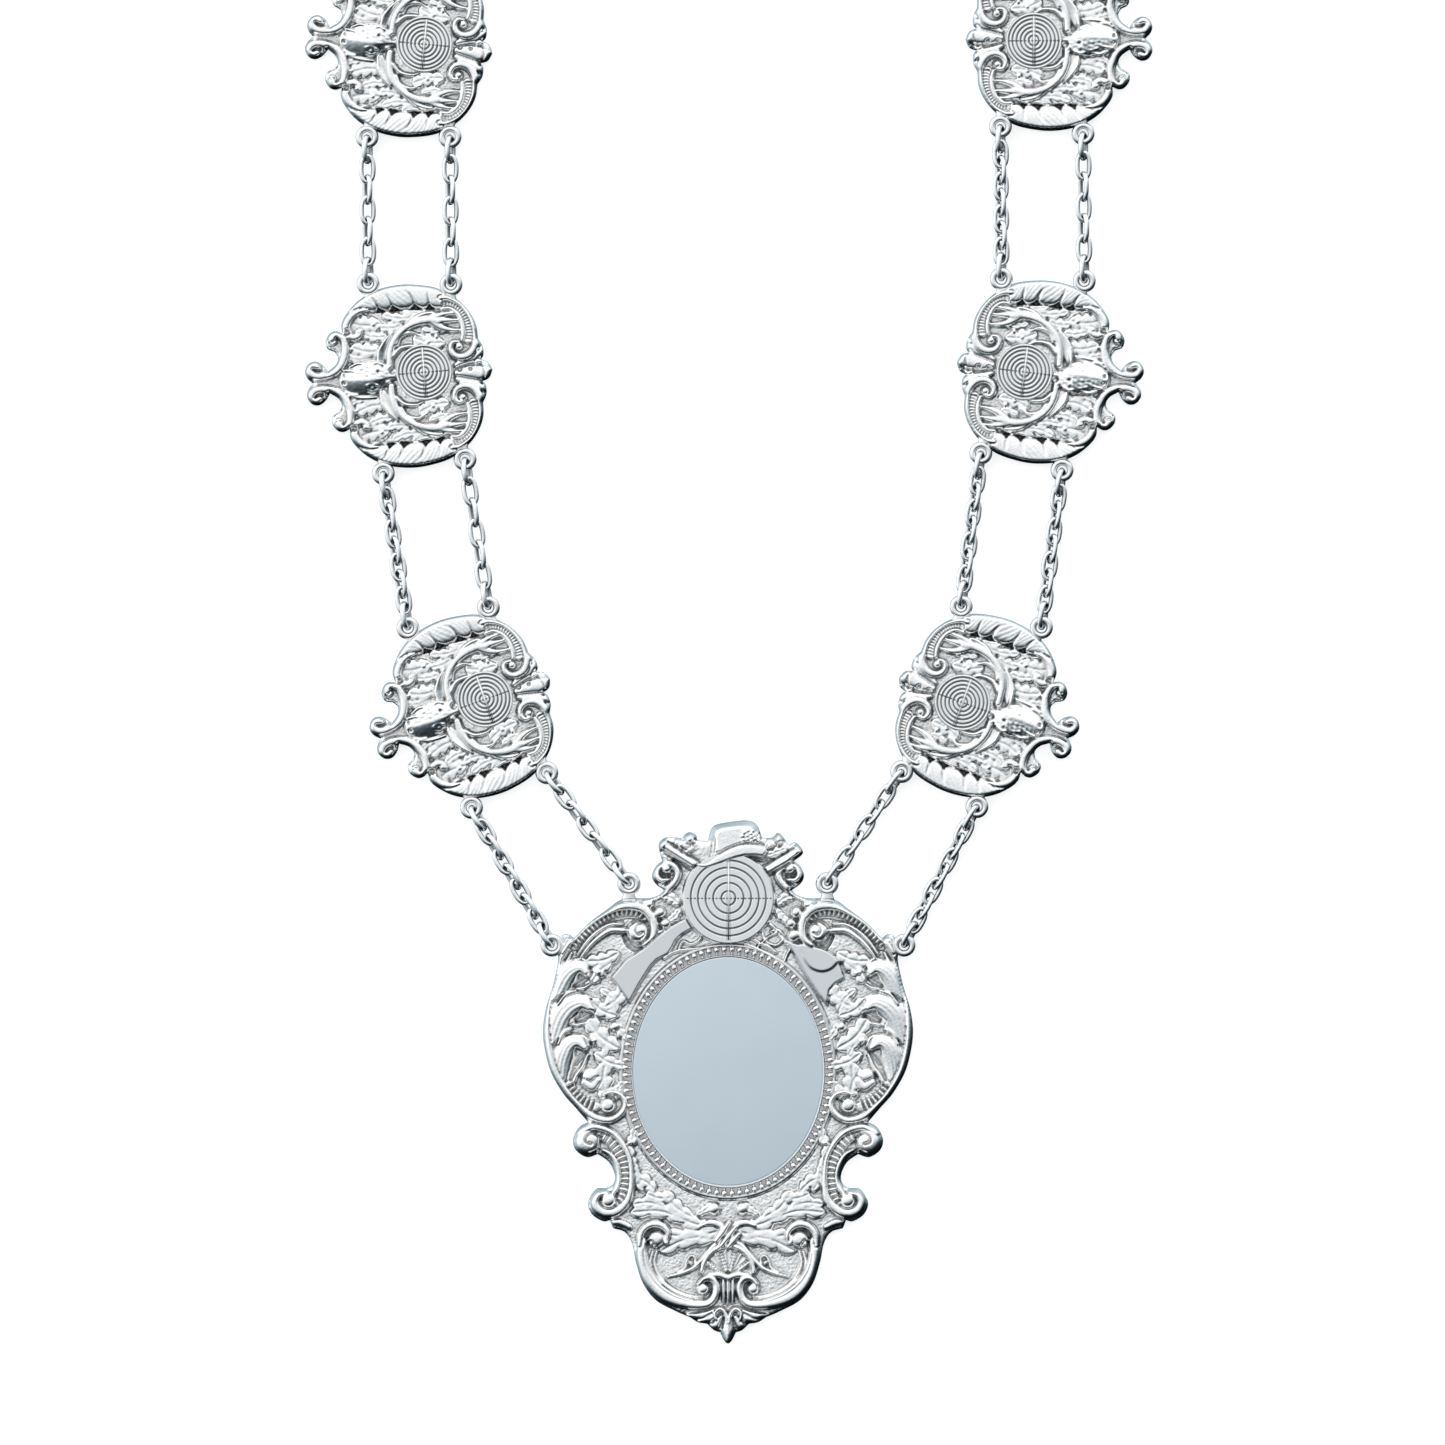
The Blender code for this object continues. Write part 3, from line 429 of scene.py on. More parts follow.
    def dent(self, centre, radius, low):
        """A round hollow."""
        box, r = self.disc(centre, radius)
        now = self.height[box]
        now[:] = np.where(r < 1, np.minimum(now, low + (now - low) * r**4), now)

    def groove(self, path, width, depth):
        """A rounded cut along a path."""
        box, far, _, _, _ = self.nearest(self.curve(path), width / 2)
        self.height[box] -= depth * (1 - np.clip(2 * far / width, 0, 1) ** 2)

    def polygon(self, points, top, wall, over=False, polish=0.0):
        """A raised flat with rounded walls inside a closed outline."""
        ring = np.vstack([points, points[:1]])
        box, far, _, _, _ = self.nearest(ring, 3 * wall + 2)
        rise = np.sin(np.clip(far / wall, 0, 1) * math.pi / 2)
        self.lay(box, self.inside(ring)[box], self.ground + (top - self.ground) * rise, over, polish)

    def finished(self):
        """The face, softened, with its border rolled down; how far in each point lies; its patina and
        painted shade.
        """
        box, far, _, _, _ = self.nearest(self.outline, self.bevel + 2)
        depth = np.full(self.x.shape, FAR)
        depth[box] = far
        depth = np.where(self.inside(self.outline), depth, -1)
        skin = blurred(np.random.default_rng(SKIN_SEED).normal(size=self.x.shape), SKIN_GRAIN)
        rough = SKIN_FORMS + (SKIN_GROUND - SKIN_FORMS) * self.stipple
        rough *= (1 - self.polish) / skin.std()
        height = blurred(self.height, FORM_BLUR) + skin * rough
        share = np.clip(depth / self.bevel, 0, 1)
        height = self.edge + (height - self.edge) * np.sqrt(share * (2 - share))
        # Patina and painted shade are dense along the foot of each form and thinner in wide hollows
        crease, wide = (np.clip((blurred(height, reach) - height) / deep, 0, 1) for reach, deep in HOLLOWS)
        return height, depth, np.maximum(crease**1.3, 0.5 * wide) * (depth > RIM_WIDTH) * (1 - self.polish)


# Meshes: a part is its points, faces, polish, stipple, and patina with painted shade


def mesh_of(name, parts):
    """One smooth mesh from parts in metres, with their looks as attributes."""
    points, faces, looks, count = [], [], [], 0
    for spots, corners, *values in parts:
        points.append(spots)
        faces += [[i + count for i in face] for face in corners]
        looks.append([np.broadcast_to(value, len(spots)) for value in values])
        count += len(spots)
    mesh = bpy.data.meshes.new(name)
    mesh.from_pydata(np.vstack(points).tolist(), [], faces)
    mesh.shade_smooth()
    for key, values in zip(("polish", "stipple", "patina_and_shade"), zip(*looks)):
        layer = mesh.attributes.new(key, "FLOAT", "POINT")
        layer.data.foreach_set("value", np.concatenate(values).astype(np.float32))
    return mesh


def in_metres(part, origin=(0.0, 0.0), y_down=False):
    """A part in table units as one in metres about an origin, turned over where y runs down."""
    points, faces, *looks = part
    scale = (UNIT, -UNIT if y_down else UNIT, MM)
    if y_down:
        faces = [face[::-1] for face in faces]
    return ((np.array(points, float) - (*origin, 0.0)) * scale, faces, *looks)


def band(rings, sides, closed=False):
    """Quads between each ring of points and the next one."""
    number = np.arange(rings * sides).reshape(rings, sides)
    after = np.roll(number, -1, axis=0)
    quads = np.stack([number, np.roll(number, -1, 1), np.roll(after, -1, 1), after], 2)
    return (quads if closed else quads[:-1]).reshape(-1, 4).tolist()


def turned(centre, rings, sides, capped=True):
    """A round or oval surface through (half width, half height, level) rings, from outside inwards."""
    turn = np.linspace(0, 2 * math.pi, sides, endpoint=False)
    points = [(centre[0] + wide * math.cos(a), centre[1] + high * math.sin(a), level)
              for wide, high, level in rings for a in turn]
    faces = band(len(rings), sides)
    if capped:
        faces.append(list(range(len(points) - sides, len(points))))
    return np.array(points), faces


def tube_ring(length, width, wire, stations, sides):
    """A link or ring lying flat, with bowed sides where it is longer than wide, in millimetres."""
    turn = np.linspace(0, 2 * math.pi, stations, endpoint=False) + math.pi / stations
    out = np.stack([np.cos(turn), np.sin(turn)], 1)
    centre = out * ((width - wire) / 2)
    centre[:, 0] += np.sign(out[:, 0]) * (length - width) / 2 * np.abs(out[:, 0]) ** 0.6
    points = []
    for c, o in zip(centre, out):
        for a in np.linspace(0, 2 * math.pi, sides, endpoint=False):
            reach = wire / 2 * math.cos(a)
            points.append((c[0] + o[0] * reach, c[1] + o[1] * reach, wire / 2 * math.sin(a)))
    return np.array(points), [[a, d, c, b] for a, b, c, d in band(stations, sides, closed=True)]


def inner_shade_and_patina(stations, sides):
    """How dark each point of a ring of wire is: only its inner side is darkened, with patina and painted
    shade.
    """
    around = np.linspace(0, 2 * math.pi, sides, endpoint=False)
    return np.tile(WIRE_INNER_SHADE_AND_PATINA * np.clip(-1.4 * np.cos(around) - 0.3, 0, 1), stations)


def wire_ring(size, stations, sides, centre=(0, 0, 0), polish=1.0):
    """A round ring of wire, in metres; size is its outer diameter and its wire."""
    points, faces = tube_ring(size[0], size[0], size[1], stations, sides)
    return points * MM + np.array(centre) * MM, faces, polish, 0.0, 0.0


def longest_loop(follow):
    """The longest closed chain of points, each followed by its next one."""
    best, seen = [], set()
    for start in follow:
        chain = []
        while start in follow and start not in seen:
            seen.add(start)
            chain.append(start)
            start = follow[start]
        if chain and start == chain[0] and len(chain) > len(best):
            best = chain
    return best


def plate(field, holes):
    """The face, its wall and its back, without the cells that each hole's own piece covers."""
    grids = (field.x, field.y, *field.finished(), field.polish, field.stipple)
    x, y, height, depth, hollow, shine, dots = (grid[::2, ::2] for grid in grids)
    covered = [(np.hypot((x - centre[0]) / half[0], (y - centre[1]) / half[1]) < 1) & (height < top)
               for centre, half, top in holes]
    kept, *covered = (grid[:-1, :-1] & grid[1:, :-1] & grid[:-1, 1:] & grid[1:, 1:]
                      for grid in (depth > RIM_GAP, *covered))
    for cells in covered:
        kept &= ~cells
    number = np.arange(x.size).reshape(x.shape)
    quads = np.stack([number[:-1, :-1], number[:-1, 1:], number[1:, 1:], number[1:, :-1]], 2)[kept]
    used, place = np.unique(quads, return_inverse=True)
    quads = place.reshape(quads.shape)
    points = np.stack([grid.ravel()[used] for grid in (x, y, height)], 1)
    near, *looks = (grid.ravel()[used] for grid in (depth, shine, dots, hollow))
    # Edges with one face only, near the outline: their points are moved onto it
    size = len(points)
    a = quads.ravel()
    b = np.roll(quads, -1, axis=1).ravel()
    edge = ~np.isin(a.astype(np.int64) * size + b, b.astype(np.int64) * size + a)
    edge &= (near[a] < RIM_WIDTH) & (near[b] < RIM_WIDTH)
    follow = dict(zip(a[edge].tolist(), b[edge].tolist()))
    starts, along = field.outline[:-1], np.diff(field.outline, axis=0)
    for i in follow:
        spot = points[i, :2]
        t = np.clip(((spot - starts) * along).sum(1) / np.maximum((along * along).sum(1), 1e-9), 0, 1)
        foot = starts + along * t[:, None]
        points[i] = (*foot[np.argmin(((foot - spot) ** 2).sum(1))], field.edge)
    loop = longest_loop(follow)
    count = len(loop)
    faces = quads.tolist()
    for k in range(count):
        m = (k + 1) % count
        faces.append([size + k, size + m, loop[m], loop[k]])
    faces.append([size + k for k in reversed(range(count))])
    points = np.vstack([points, points[loop] * (1, 1, 0)])
    return (points, faces, *(np.append(values, np.zeros(count)) for values in looks))


def slab(centre, across, along, low, top):
    """A thin bar with leaning sides, from low to top."""
    points = []
    for height, lean in ((low, 0.0), (top, 0.15)):
        (x0, x1), (y0, y1) = ((a + lean, b - lean) for a, b in (across, along))
        corners = ((x0, y0), (x1, y0), (x1, y1), (x0, y1))
        points += [(centre[0] + x, centre[1] + y, height) for x, y in corners]
    return points, band(2, 4) + [[4, 5, 6, 7]]


def target_parts(centre, radius, ground, top, grooves, sides, depth, polish):
    """A target: rings cut into a flat disc, a dashed level line and a raised upright."""
    profile = [(radius, ground - 0.3), (radius, top - 0.25), (radius - 0.5, top), (radius - 1.0, top)]
    for groove in reversed(grooves):
        profile += [(groove + offset, top - share * depth) for offset, share in GROOVE_SECTION]
    points, faces = turned(centre, [(reach, reach, level) for reach, level in profile], sides)
    # Grooves grow darker towards their bottom: patina and painted shade
    parts = [(points, faces, polish, 0.0, 0.8 * np.clip((top - points[:, 2]) / depth, 0, 1))]
    reach = radius - 3.0
    bars = [((x, x + DASH_LENGTH), (-DASH_HALF, DASH_HALF), DASH_HEIGHT, 1.0)
            for x in np.arange(-reach, reach, DASH_PITCH)]
    bars += [((left, right), (-reach, reach), high, dark) for left, right, high, dark in UPRIGHT]
    for across, along, high, dark in bars:
        parts.append((*slab(centre, across, along, top - 0.1, top + high), polish, 0.0, dark))
    return parts


# Pendant relief


PENDANT_RIGHT_EDGE = (
    ((794, 861), (800, 866), (804, 875), (801, 883), (792, 890)),
    ((792, 890), (797, 895), (807, 898), (820, 898)),
    ((820, 898), (835, 899.5), (850, 910), (866, 922), (882, 938)),
    ((882, 938), (888, 934), (894, 936), (898, 950), (898, 962), (903, 985), (910, 1008),
     (913, 1030), (911, 1050), (905, 1072), (893, 1093), (880, 1108), (868, 1122)),
    ((868, 1122), (877, 1127), (883, 1139), (880, 1150), (869, 1157), (858, 1154)),
    ((858, 1154), (847, 1162), (841, 1175), (843, 1184), (850, 1188)),
    ((850, 1188), (860, 1189), (868, 1202), (864, 1214), (853, 1221), (846, 1220)),
    ((846, 1220), (843, 1228)),
    ((843, 1228), (831, 1232), (824, 1243), (820, 1262), (813, 1283), (800, 1300), (780, 1311),
     (766, 1317)),
    ((766, 1317), (758, 1322), (749, 1323.5)),
    ((749, 1323.5), (742, 1330), (736, 1332)),
    ((736, 1332), (732, 1340), (728, 1344)),
)
PENDANT_CREST = (
    ((662, 861), (659, 849), (659, 843), (664, 838), (672, 837), (682, 838)),
    ((682, 838), (685, 834), (690, 832), (696, 835), (698, 840), (708, 841)),
    ((708, 841), (710, 832), (715, 825), (732, 821.5), (748, 820.5), (757, 825), (762, 837.5)),
    ((762, 837.5), (772, 837.5), (778, 832.5), (784, 838), (789, 845)),
    ((789, 845), (794, 842), (799, 845), (803, 853), (794, 861)),
)
TARGET_CENTRE = (728.5, 898.0)
TARGET_RADIUS = 45.0
TARGET_GROOVES = (7.0, 15.2, 22.8, 30.4, 37.6)
HAT_CROWN = ((709, 862), (711, 846), (711, 833), (717, 825), (734, 822), (750, 822), (758, 828),
             (761, 838), (762, 850), (745, 851), (725, 858))
HAT_BOX = ((705, 815), (770, 870))
HAT_BRIM = ((698, 865), (707, 865), (718, 860), (731, 854), (743, 850.5), (753, 850), (761.5, 851.5))
LEFT_STOCK = ((692, 914), (670.6, 925.5), (655.4, 937), (642.4, 948.3), (625, 959.7), (610.5, 977),
              (629.6, 1003), (640, 984), (651, 966.5), (657, 960), (668.5, 954), (673, 947.5), (676, 941),
              (682.5, 934.5), (696, 927))
RIGHT_STOCK = ((773.6, 928.2), (787.8, 940), (800.8, 944.5), (818, 948), (830, 953), (838.7, 961.5),
               (842.5, 971.6), (844.2, 978.5), (835.5, 983.5), (829.6, 990), (827.4, 1005.5),
               (818, 994.4), (805, 975), (795.4, 957.5), (785.6, 940.5), (777, 931.5), (766, 924))
CHEEK = ((798, 942.5), (818, 946), (831, 951.5), (840, 960.5), (838, 963.5), (831, 970), (821, 972.5),
         (810.5, 969), (804, 961.5), (800.5, 954))


def pendant_field():
    """The pendant's face without its oval, target and lugs, which are turned pieces."""
    right = runs(PENDANT_RIGHT_EDGE)
    left = right * (-1, 1) + (2 * PENDANT_CENTRE[0], 0)
    ring = np.vstack([runs(PENDANT_CREST)[:-1], right[:-1], left[::-1][:-1]])
    field = Field(ring, PENDANT_GROUND, PENDANT_EDGE, PENDANT_BEVEL, axis=0, middle=PENDANT_CENTRE[0])
    for turn in field.halves():
        pendant_side(field, turn)
    pendant_foot(field)
    pendant_head(field)
    return field


def pendant_side(field, turn):
    """The scrolls, acanthus and oak leaves of the right half, or of the left one with turn -1."""
    bar = field.bar

    # Oak leaves and acorns on the ground, under everything else
    leaves = (
        ((836, 1049), (868, 1018), 27), ((862, 1052), (829, 1066), 20), ((838, 1016), (866, 999), 22),
        ((852, 1008), (830, 984), 23), ((846, 1102), (851, 1062), 27), ((830, 1080), (842, 1100), 14),
        ((836, 952), (870, 961), 22), ((844, 962), (864, 983), 19), ((856, 988), (838, 1012), 15),
        ((838, 1022), (827, 1040), 14), ((866, 1034), (848, 1056), 13), ((776, 905), (794, 895), 16),
        ((776, 908), (788, 921), 13), ((832, 1152), (821, 1126), 15), ((817, 1178), (826, 1146), 17),
        ((800, 1191), (824, 1176), 20), ((782, 1197), (810, 1193), 18), ((790, 1207), (824, 1204), 18),
        ((762, 1218), (792, 1190), 21), ((760, 1214), (744, 1202), 12), ((738, 1226), (784, 1211), 21),
        ((768, 1221), (826, 1212), 21), ((736, 1230), (792, 1233), 24), ((740, 1238), (796, 1251), 25),
        ((812, 1192), (821, 1162), 13),
    )
    for i, (root, tip, width) in enumerate(leaves):
        field.leaf(root, tip, width, SPRIG_TOP + 0.1, bend=0.10 * (-1) ** i)
    for x, y, radius in ((841, 1026, 5.5), (742, 1208, 7), (862, 1040, 3), (826, 1142, 3.5),
                         (858, 972, 3.5)):
        field.ball((x, y), radius, SPRIG_TOP + 0.7)
    field.ball((866, 1076), 9.5, SPRIG_TOP + 0.9)
    bar(((858, 1080), (864, 1086), (872, 1082)), (8, 11, 8), SPRIG_TOP + 0.5)
    bar(((868, 1054), (873, 1066), (880, 1076), (883.5, 1088), (880, 1100), (870, 1105)),
        (3, 4, 4.5, 5, 5, 4), 3.5)

    # Acanthus: three fluted lobes that rise from the rim and turn over inwards, with their tips
    for path, widths, top in (
        (((907, 1040), (906, 1015), (899, 990), (888, 972), (876, 967), (869, 973)),
         (7, 17, 27, 30, 24, 9), 4.2),
        (((907, 1066), (903, 1040), (896, 1018), (886, 1006), (874, 1002), (864, 1009)),
         (7, 18, 29, 32, 26, 9), 4.3),
        (((893, 1098), (896, 1072), (893, 1055), (887, 1044), (879, 1041), (871, 1047)),
         (6, 17, 25, 26, 21, 8), 4.3),
    ):
        bar(path, widths, top, fluted(turn))
    for path, widths, top in (
        (((868, 967), (872, 959.5), (881, 959)), (3, 4, 2), 3.6),
        (((864, 998), (871, 995), (880, 998)), (2, 3.5, 2), 3.6),
        (((880, 990), (890, 994), (898, 1004)), (2, 3, 2), 4.4),
        (((884, 1028), (892, 1032), (898, 1044)), (2, 3, 2), 4.4),
        (((866, 1046), (871, 1037), (880, 1034)), (2, 4, 3), 3.5),
        (((868, 1022), (878, 1024), (888, 1022)), (3, 4.5, 2), 3.1),
        (((866, 984), (873, 988), (882, 988)), (2, 4.5, 2), 3.1),
    ):
        field.ridge(path, widths, top, pillow)
    field.ball((901.5, 1066), 3.4, 4.4)

    # Main scroll: down the edge from the shoulder and in to its volute by the oval
    bar(((887, 1084), (881, 1093), (872, 1101), (860, 1106)), (8, 11, 12, 10), 3.3,
        ribbed(0.05, 0.75, 5.0), base=1.7)
    bar(((888, 941), (896, 958), (902.5, 983), (908, 1008), (909, 1032), (906.5, 1054), (899.5, 1076),
         (888, 1095), (874, 1109), (859, 1117.5), (845, 1119), (834, 1112), (830.5, 1102.5), (835, 1094.5),
         (844, 1091.5), (853, 1094)),
        (8, 7, 5.5, 5, 5.5, 7, 8, 9, 10, 10.5, 10, 9, 8, 7, 6, 3), SCROLL_TOP)
    field.ball((848, 1104.5), 8.4, SCROLL_TOP + 0.2, base=2.2, flat=1.5)
    field.groove(((840, 1103), (842.5, 1097), (849, 1095.5)), 2.4, 0.8)
    field.ridge(((884, 952), (889, 962), (893, 974)), (2, 4, 2), 3.6, pillow)

    # Upper scroll: a deep channel with cross ribs between its rim and an inner double ridge
    bar(((812, 919), (820, 913.5), (831, 912), (844, 915), (857, 922), (869, 933), (881, 946)),
        (8, 12, 15, 15, 14, 12, 9), 3.0,
        ribbed(0.10, 0.72, 4.8, side=turn, reach=0.45), base=1.2)
    bar(((834, 923), (846, 924.5), (858, 931), (869, 941.5), (878, 954)), (4, 4.5, 4.5, 4, 3), 3.8)
    bar(((832, 930), (845, 930), (857, 937), (867, 946.5), (875, 957)), (7, 7, 6, 5, 3), 3.9)
    field.groove(((831, 936), (826, 945), (817, 949.5), (807, 946.5), (802, 940)), 7, 1.2)
    bar(((893, 952), (884, 939.5), (872, 926.5), (857, 915.5), (841, 908), (825, 905.5), (812, 909),
         (804.5, 917), (801.5, 928), (804, 938.5), (811.5, 944)),
        (6, 7, 7.5, 8, 8, 8.5, 10, 10.5, 10.5, 9.5, 7), SCROLL_TOP + 0.2)
    field.ball((818.5, 931.5), 11.4, SCROLL_TOP + 0.5, base=2.0, flat=1.4)
    field.groove(((812, 921), (818, 924), (820.5, 930), (817.5, 934.5), (813.5, 932.5)), 2.6, 0.8)
    field.groove(((807, 919), (805.5, 929), (808.5, 938), (816, 944)), 2.4, 0.7)

    # Small scroll beside the target
    field.ridge(((786, 887), (783.5, 880), (785, 873)), (6, 5, 3), 2.9, pillow)
    bar(((812, 901.5), (800, 896.5), (790, 890), (781.5, 882), (778, 873), (782.5, 865.5), (791, 863),
         (798.5, 867), (800, 874.5), (795, 880), (788.5, 879)),
        (4, 6, 8, 8.5, 8, 8, 8, 8, 8.5, 7, 4), SCROLL_TOP)
    field.ball((789.5, 868.5), 5.2, SCROLL_TOP + 0.2, base=2.8)
    field.groove(((785, 874), (789, 877), (794, 875)), 3.6, 0.8)

    # Dark undercuts below the lobes' tips
    for width, path in ((6, ((866, 974), (872, 980), (881, 986))),
                        (7.5, ((865, 1012), (873, 1017.5), (883, 1021.5))),
                        (4, ((868, 1049), (873, 1055), (880, 1064)))):
        field.groove(path, width, 0.8)

    # Beads between target and scroll
    for x, y, radius in ((819, 902.5, 4.6), (807.5, 903.5, 5.6), (796, 912, 6.0), (790.5, 923, 5.6),
                         (793.5, 935, 6.6)):
        field.ball((x, y), radius, BEAD_TOP + 0.2, base=2.6)

    # Side C-scroll with cross ribs and a volute at each end
    bar(((862, 1134), (850, 1138), (840, 1147), (833.5, 1159), (831, 1173), (831.5, 1187), (835, 1199),
         (843, 1206)), (5, 9, 11, 11, 11, 11, 10, 6), 3.4,
        ribbed(0.30, 0.55, 5.4, gap=-0.35))
    bar(((853, 1149), (845, 1154), (839.5, 1163), (837.5, 1175), (839.5, 1187), (844, 1195)),
        (3, 6, 7, 7, 7, 4), SCROLL_TOP - 0.3)
    bar(((876, 1132), (866, 1126.5), (854, 1127.5), (842.5, 1133), (833, 1144), (826.5, 1157.5),
         (824.5, 1172), (824.8, 1187), (828.5, 1200), (836, 1208.5), (846, 1212.5), (856.5, 1209.5),
         (861, 1201.5), (857.5, 1194), (850, 1191.5)),
        (8, 8, 7.5, 7, 6.5, 6, 6, 6.5, 7.5, 9, 10.5, 10.5, 10, 8, 5), SCROLL_TOP)
    field.ball((847.5, 1199.5), 8.2, SCROLL_TOP + 0.4, base=2.2, flat=1.4)
    field.ball((868, 1141), 13.5, SCROLL_TOP + 0.4, base=1.8, flat=1.7)
    field.groove(((855.5, 1144), (856, 1136.5), (862.5, 1132.5), (869, 1135), (870, 1141),
                  (864.5, 1143.5)), 2.8, 0.9)

    # Lower C-scroll: broad ribbon with parallel lines inside, and a volute at each end
    lines = ((799, 1250), (801.5, 1262), (796.5, 1275), (784.5, 1287), (768, 1294.5), (753, 1296))
    outer_lines = [(x + 4 * (x > 790), y + 2.5 * (x < 790)) for x, y in lines]
    bar(lines, (2, 3, 3, 3, 3, 2), 3.0)
    field.ridge(outer_lines, (2, 3, 3, 3, 3, 2), 3.2, pillow)
    field.ridge(((845, 1222), (836, 1221.5), (826, 1226)), (5, 7, 6), 3.0, pillow)
    ribbon = ((813, 1240), (814, 1254), (811.5, 1269), (802.5, 1284), (787.5, 1296), (768, 1302.5),
              (752, 1303.5), (744, 1299.5), (740, 1291), (740.5, 1282.5), (745.5, 1277.5), (752, 1278.5),
              (757, 1283.5))
    bar(ribbon, (8, 12, 14, 15, 15, 15, 13, 11, 9.5, 8.5, 8, 8, 5), SCROLL_TOP + 0.2,
        lambda s, run, total: roll(s, 4.2) * (1 - 0.16 * np.exp(-(((s - 0.35 * turn) / 0.12) ** 2))))
    bar(((790, 1242), (788.5, 1231), (796, 1224), (807, 1224.5), (814.5, 1232), (816.5, 1245)),
        (5, 8, 8.5, 8, 8, 5), SCROLL_TOP + 0.15)
    field.ball((799.5, 1238.5), 9.4, SCROLL_TOP + 0.3, base=2.0, flat=1.5)
    field.groove(((789, 1240), (791, 1232.5), (798, 1229), (806, 1231.5), (810.5, 1239)), 2.4, 0.8)
    field.groove(((802, 1244), (805, 1240), (808.5, 1243), (809, 1250)), 3.4, 0.9)
    field.ball((753, 1288), 6.8, SCROLL_TOP + 0.2, base=2.0, flat=1.3)

    # Foot palmette
    for path, widths in ((((739, 1308), (752, 1314), (768, 1316)), (4, 8, 5)),
                         (((738, 1311), (748, 1319), (758, 1322)), (4, 8, 5)),
                         (((735, 1316), (741, 1325), (749, 1330)), (4, 8, 5))):
        bar(path, widths, 3.3)
    bar(((729, 1322), (731, 1312), (736, 1308), (741, 1312), (740, 1319)), (3, 4.5, 5, 4.5, 3), 3.9)


def pendant_foot(field):
    """Shell, fluted stem, ribbon knot and palmette on the middle line."""
    axis = PENDANT_CENTRE[0]
    field.ridge(((axis, 1318), (axis, 1330), (axis, 1341)), (8, 13, 4), 3.7, pillow)
    field.ridge(((axis, 1322), (axis, 1334)), 1.4, 3.9, base=3.5)
    # Shell: beaded ribs with sunken flutes between them, inside a scalloped rim
    fan = (axis, 1277)
    shell = [(axis + 25 * math.cos(a), 1274 - 27 * math.sin(a)) for a in np.linspace(0.1, 3.04, 24)]
    field.polygon(shell, 2.3, 2, over=True)
    for degrees, width in ((20, 13), (54, 10), (90, 9), (126, 10), (160, 13)):
        a = math.radians(degrees)
        ends = [(fan[0] + reach * math.cos(a), fan[1] - reach * math.sin(a)) for reach in (8, 17, 25)]
        field.ridge(ends, (2, width * 0.6, width), (2.6, 3.0, 3.1),
                    lambda s, run, total: roll(s, 6) * (0.5 + 0.5 * s * s), base=2.2)
    for degrees in (36, 74, 106, 144):
        a = math.radians(degrees)
        for reach in np.arange(8, 27, 3.3):
            field.ball((fan[0] + reach * math.cos(a), fan[1] - reach * math.sin(a)), 1.9, 3.7, base=2.4)
    rim = [(axis + 26.5 * math.cos(a), 1275 - 30 * math.sin(a)) for a in np.linspace(0.15, 2.99, 18)]
    field.ridge(rim, 5.5, 3.7, pillow, over=True)
    for _ in field.halves():
        # Arch that joins the two foot volutes, the stem's flutes, and ribbon tails with their buds
        for path, widths, top in (
            (((746, 1274.5), (737, 1274), (728, 1277)), (7, 8, 8), SCROLL_TOP),
            (((732.6, 1280), (732.6, 1292), (732.6, 1302)), (4, 4, 2), 3.9),
            (((732, 1240), (742, 1245), (751, 1255), (761, 1266), (773, 1272), (788, 1276)),
             (6, 5.5, 5, 5, 4, 2), 3.6),
            (((731, 1230), (737, 1224), (746, 1222), (755, 1225)), (6, 9, 8, 3), 3.6),
        ):
            field.ridge(path, widths, top, pillow)
        field.ridge(((761, 1264), (761, 1257), (765, 1255), (769, 1260), (771, 1267), (778, 1271)), 2.4, 3.4)
        field.ball((765.5, 1262), 2.6, 3.3)
    field.ridge(((axis, 1278), (axis, 1292), (axis, 1303)), (4, 4, 2), 4.1, pillow)
    for path in (((716, 1240), (722, 1232), (729, 1222)), ((721, 1245), (728, 1236), (736, 1226)),
                 ((728, 1246), (733, 1240), (739, 1233))):
        field.ridge(path, (5, 8, 5), 4.3, pillow)
    for x in (713, 743):
        field.ball((x, 1209), 4, 3.2)


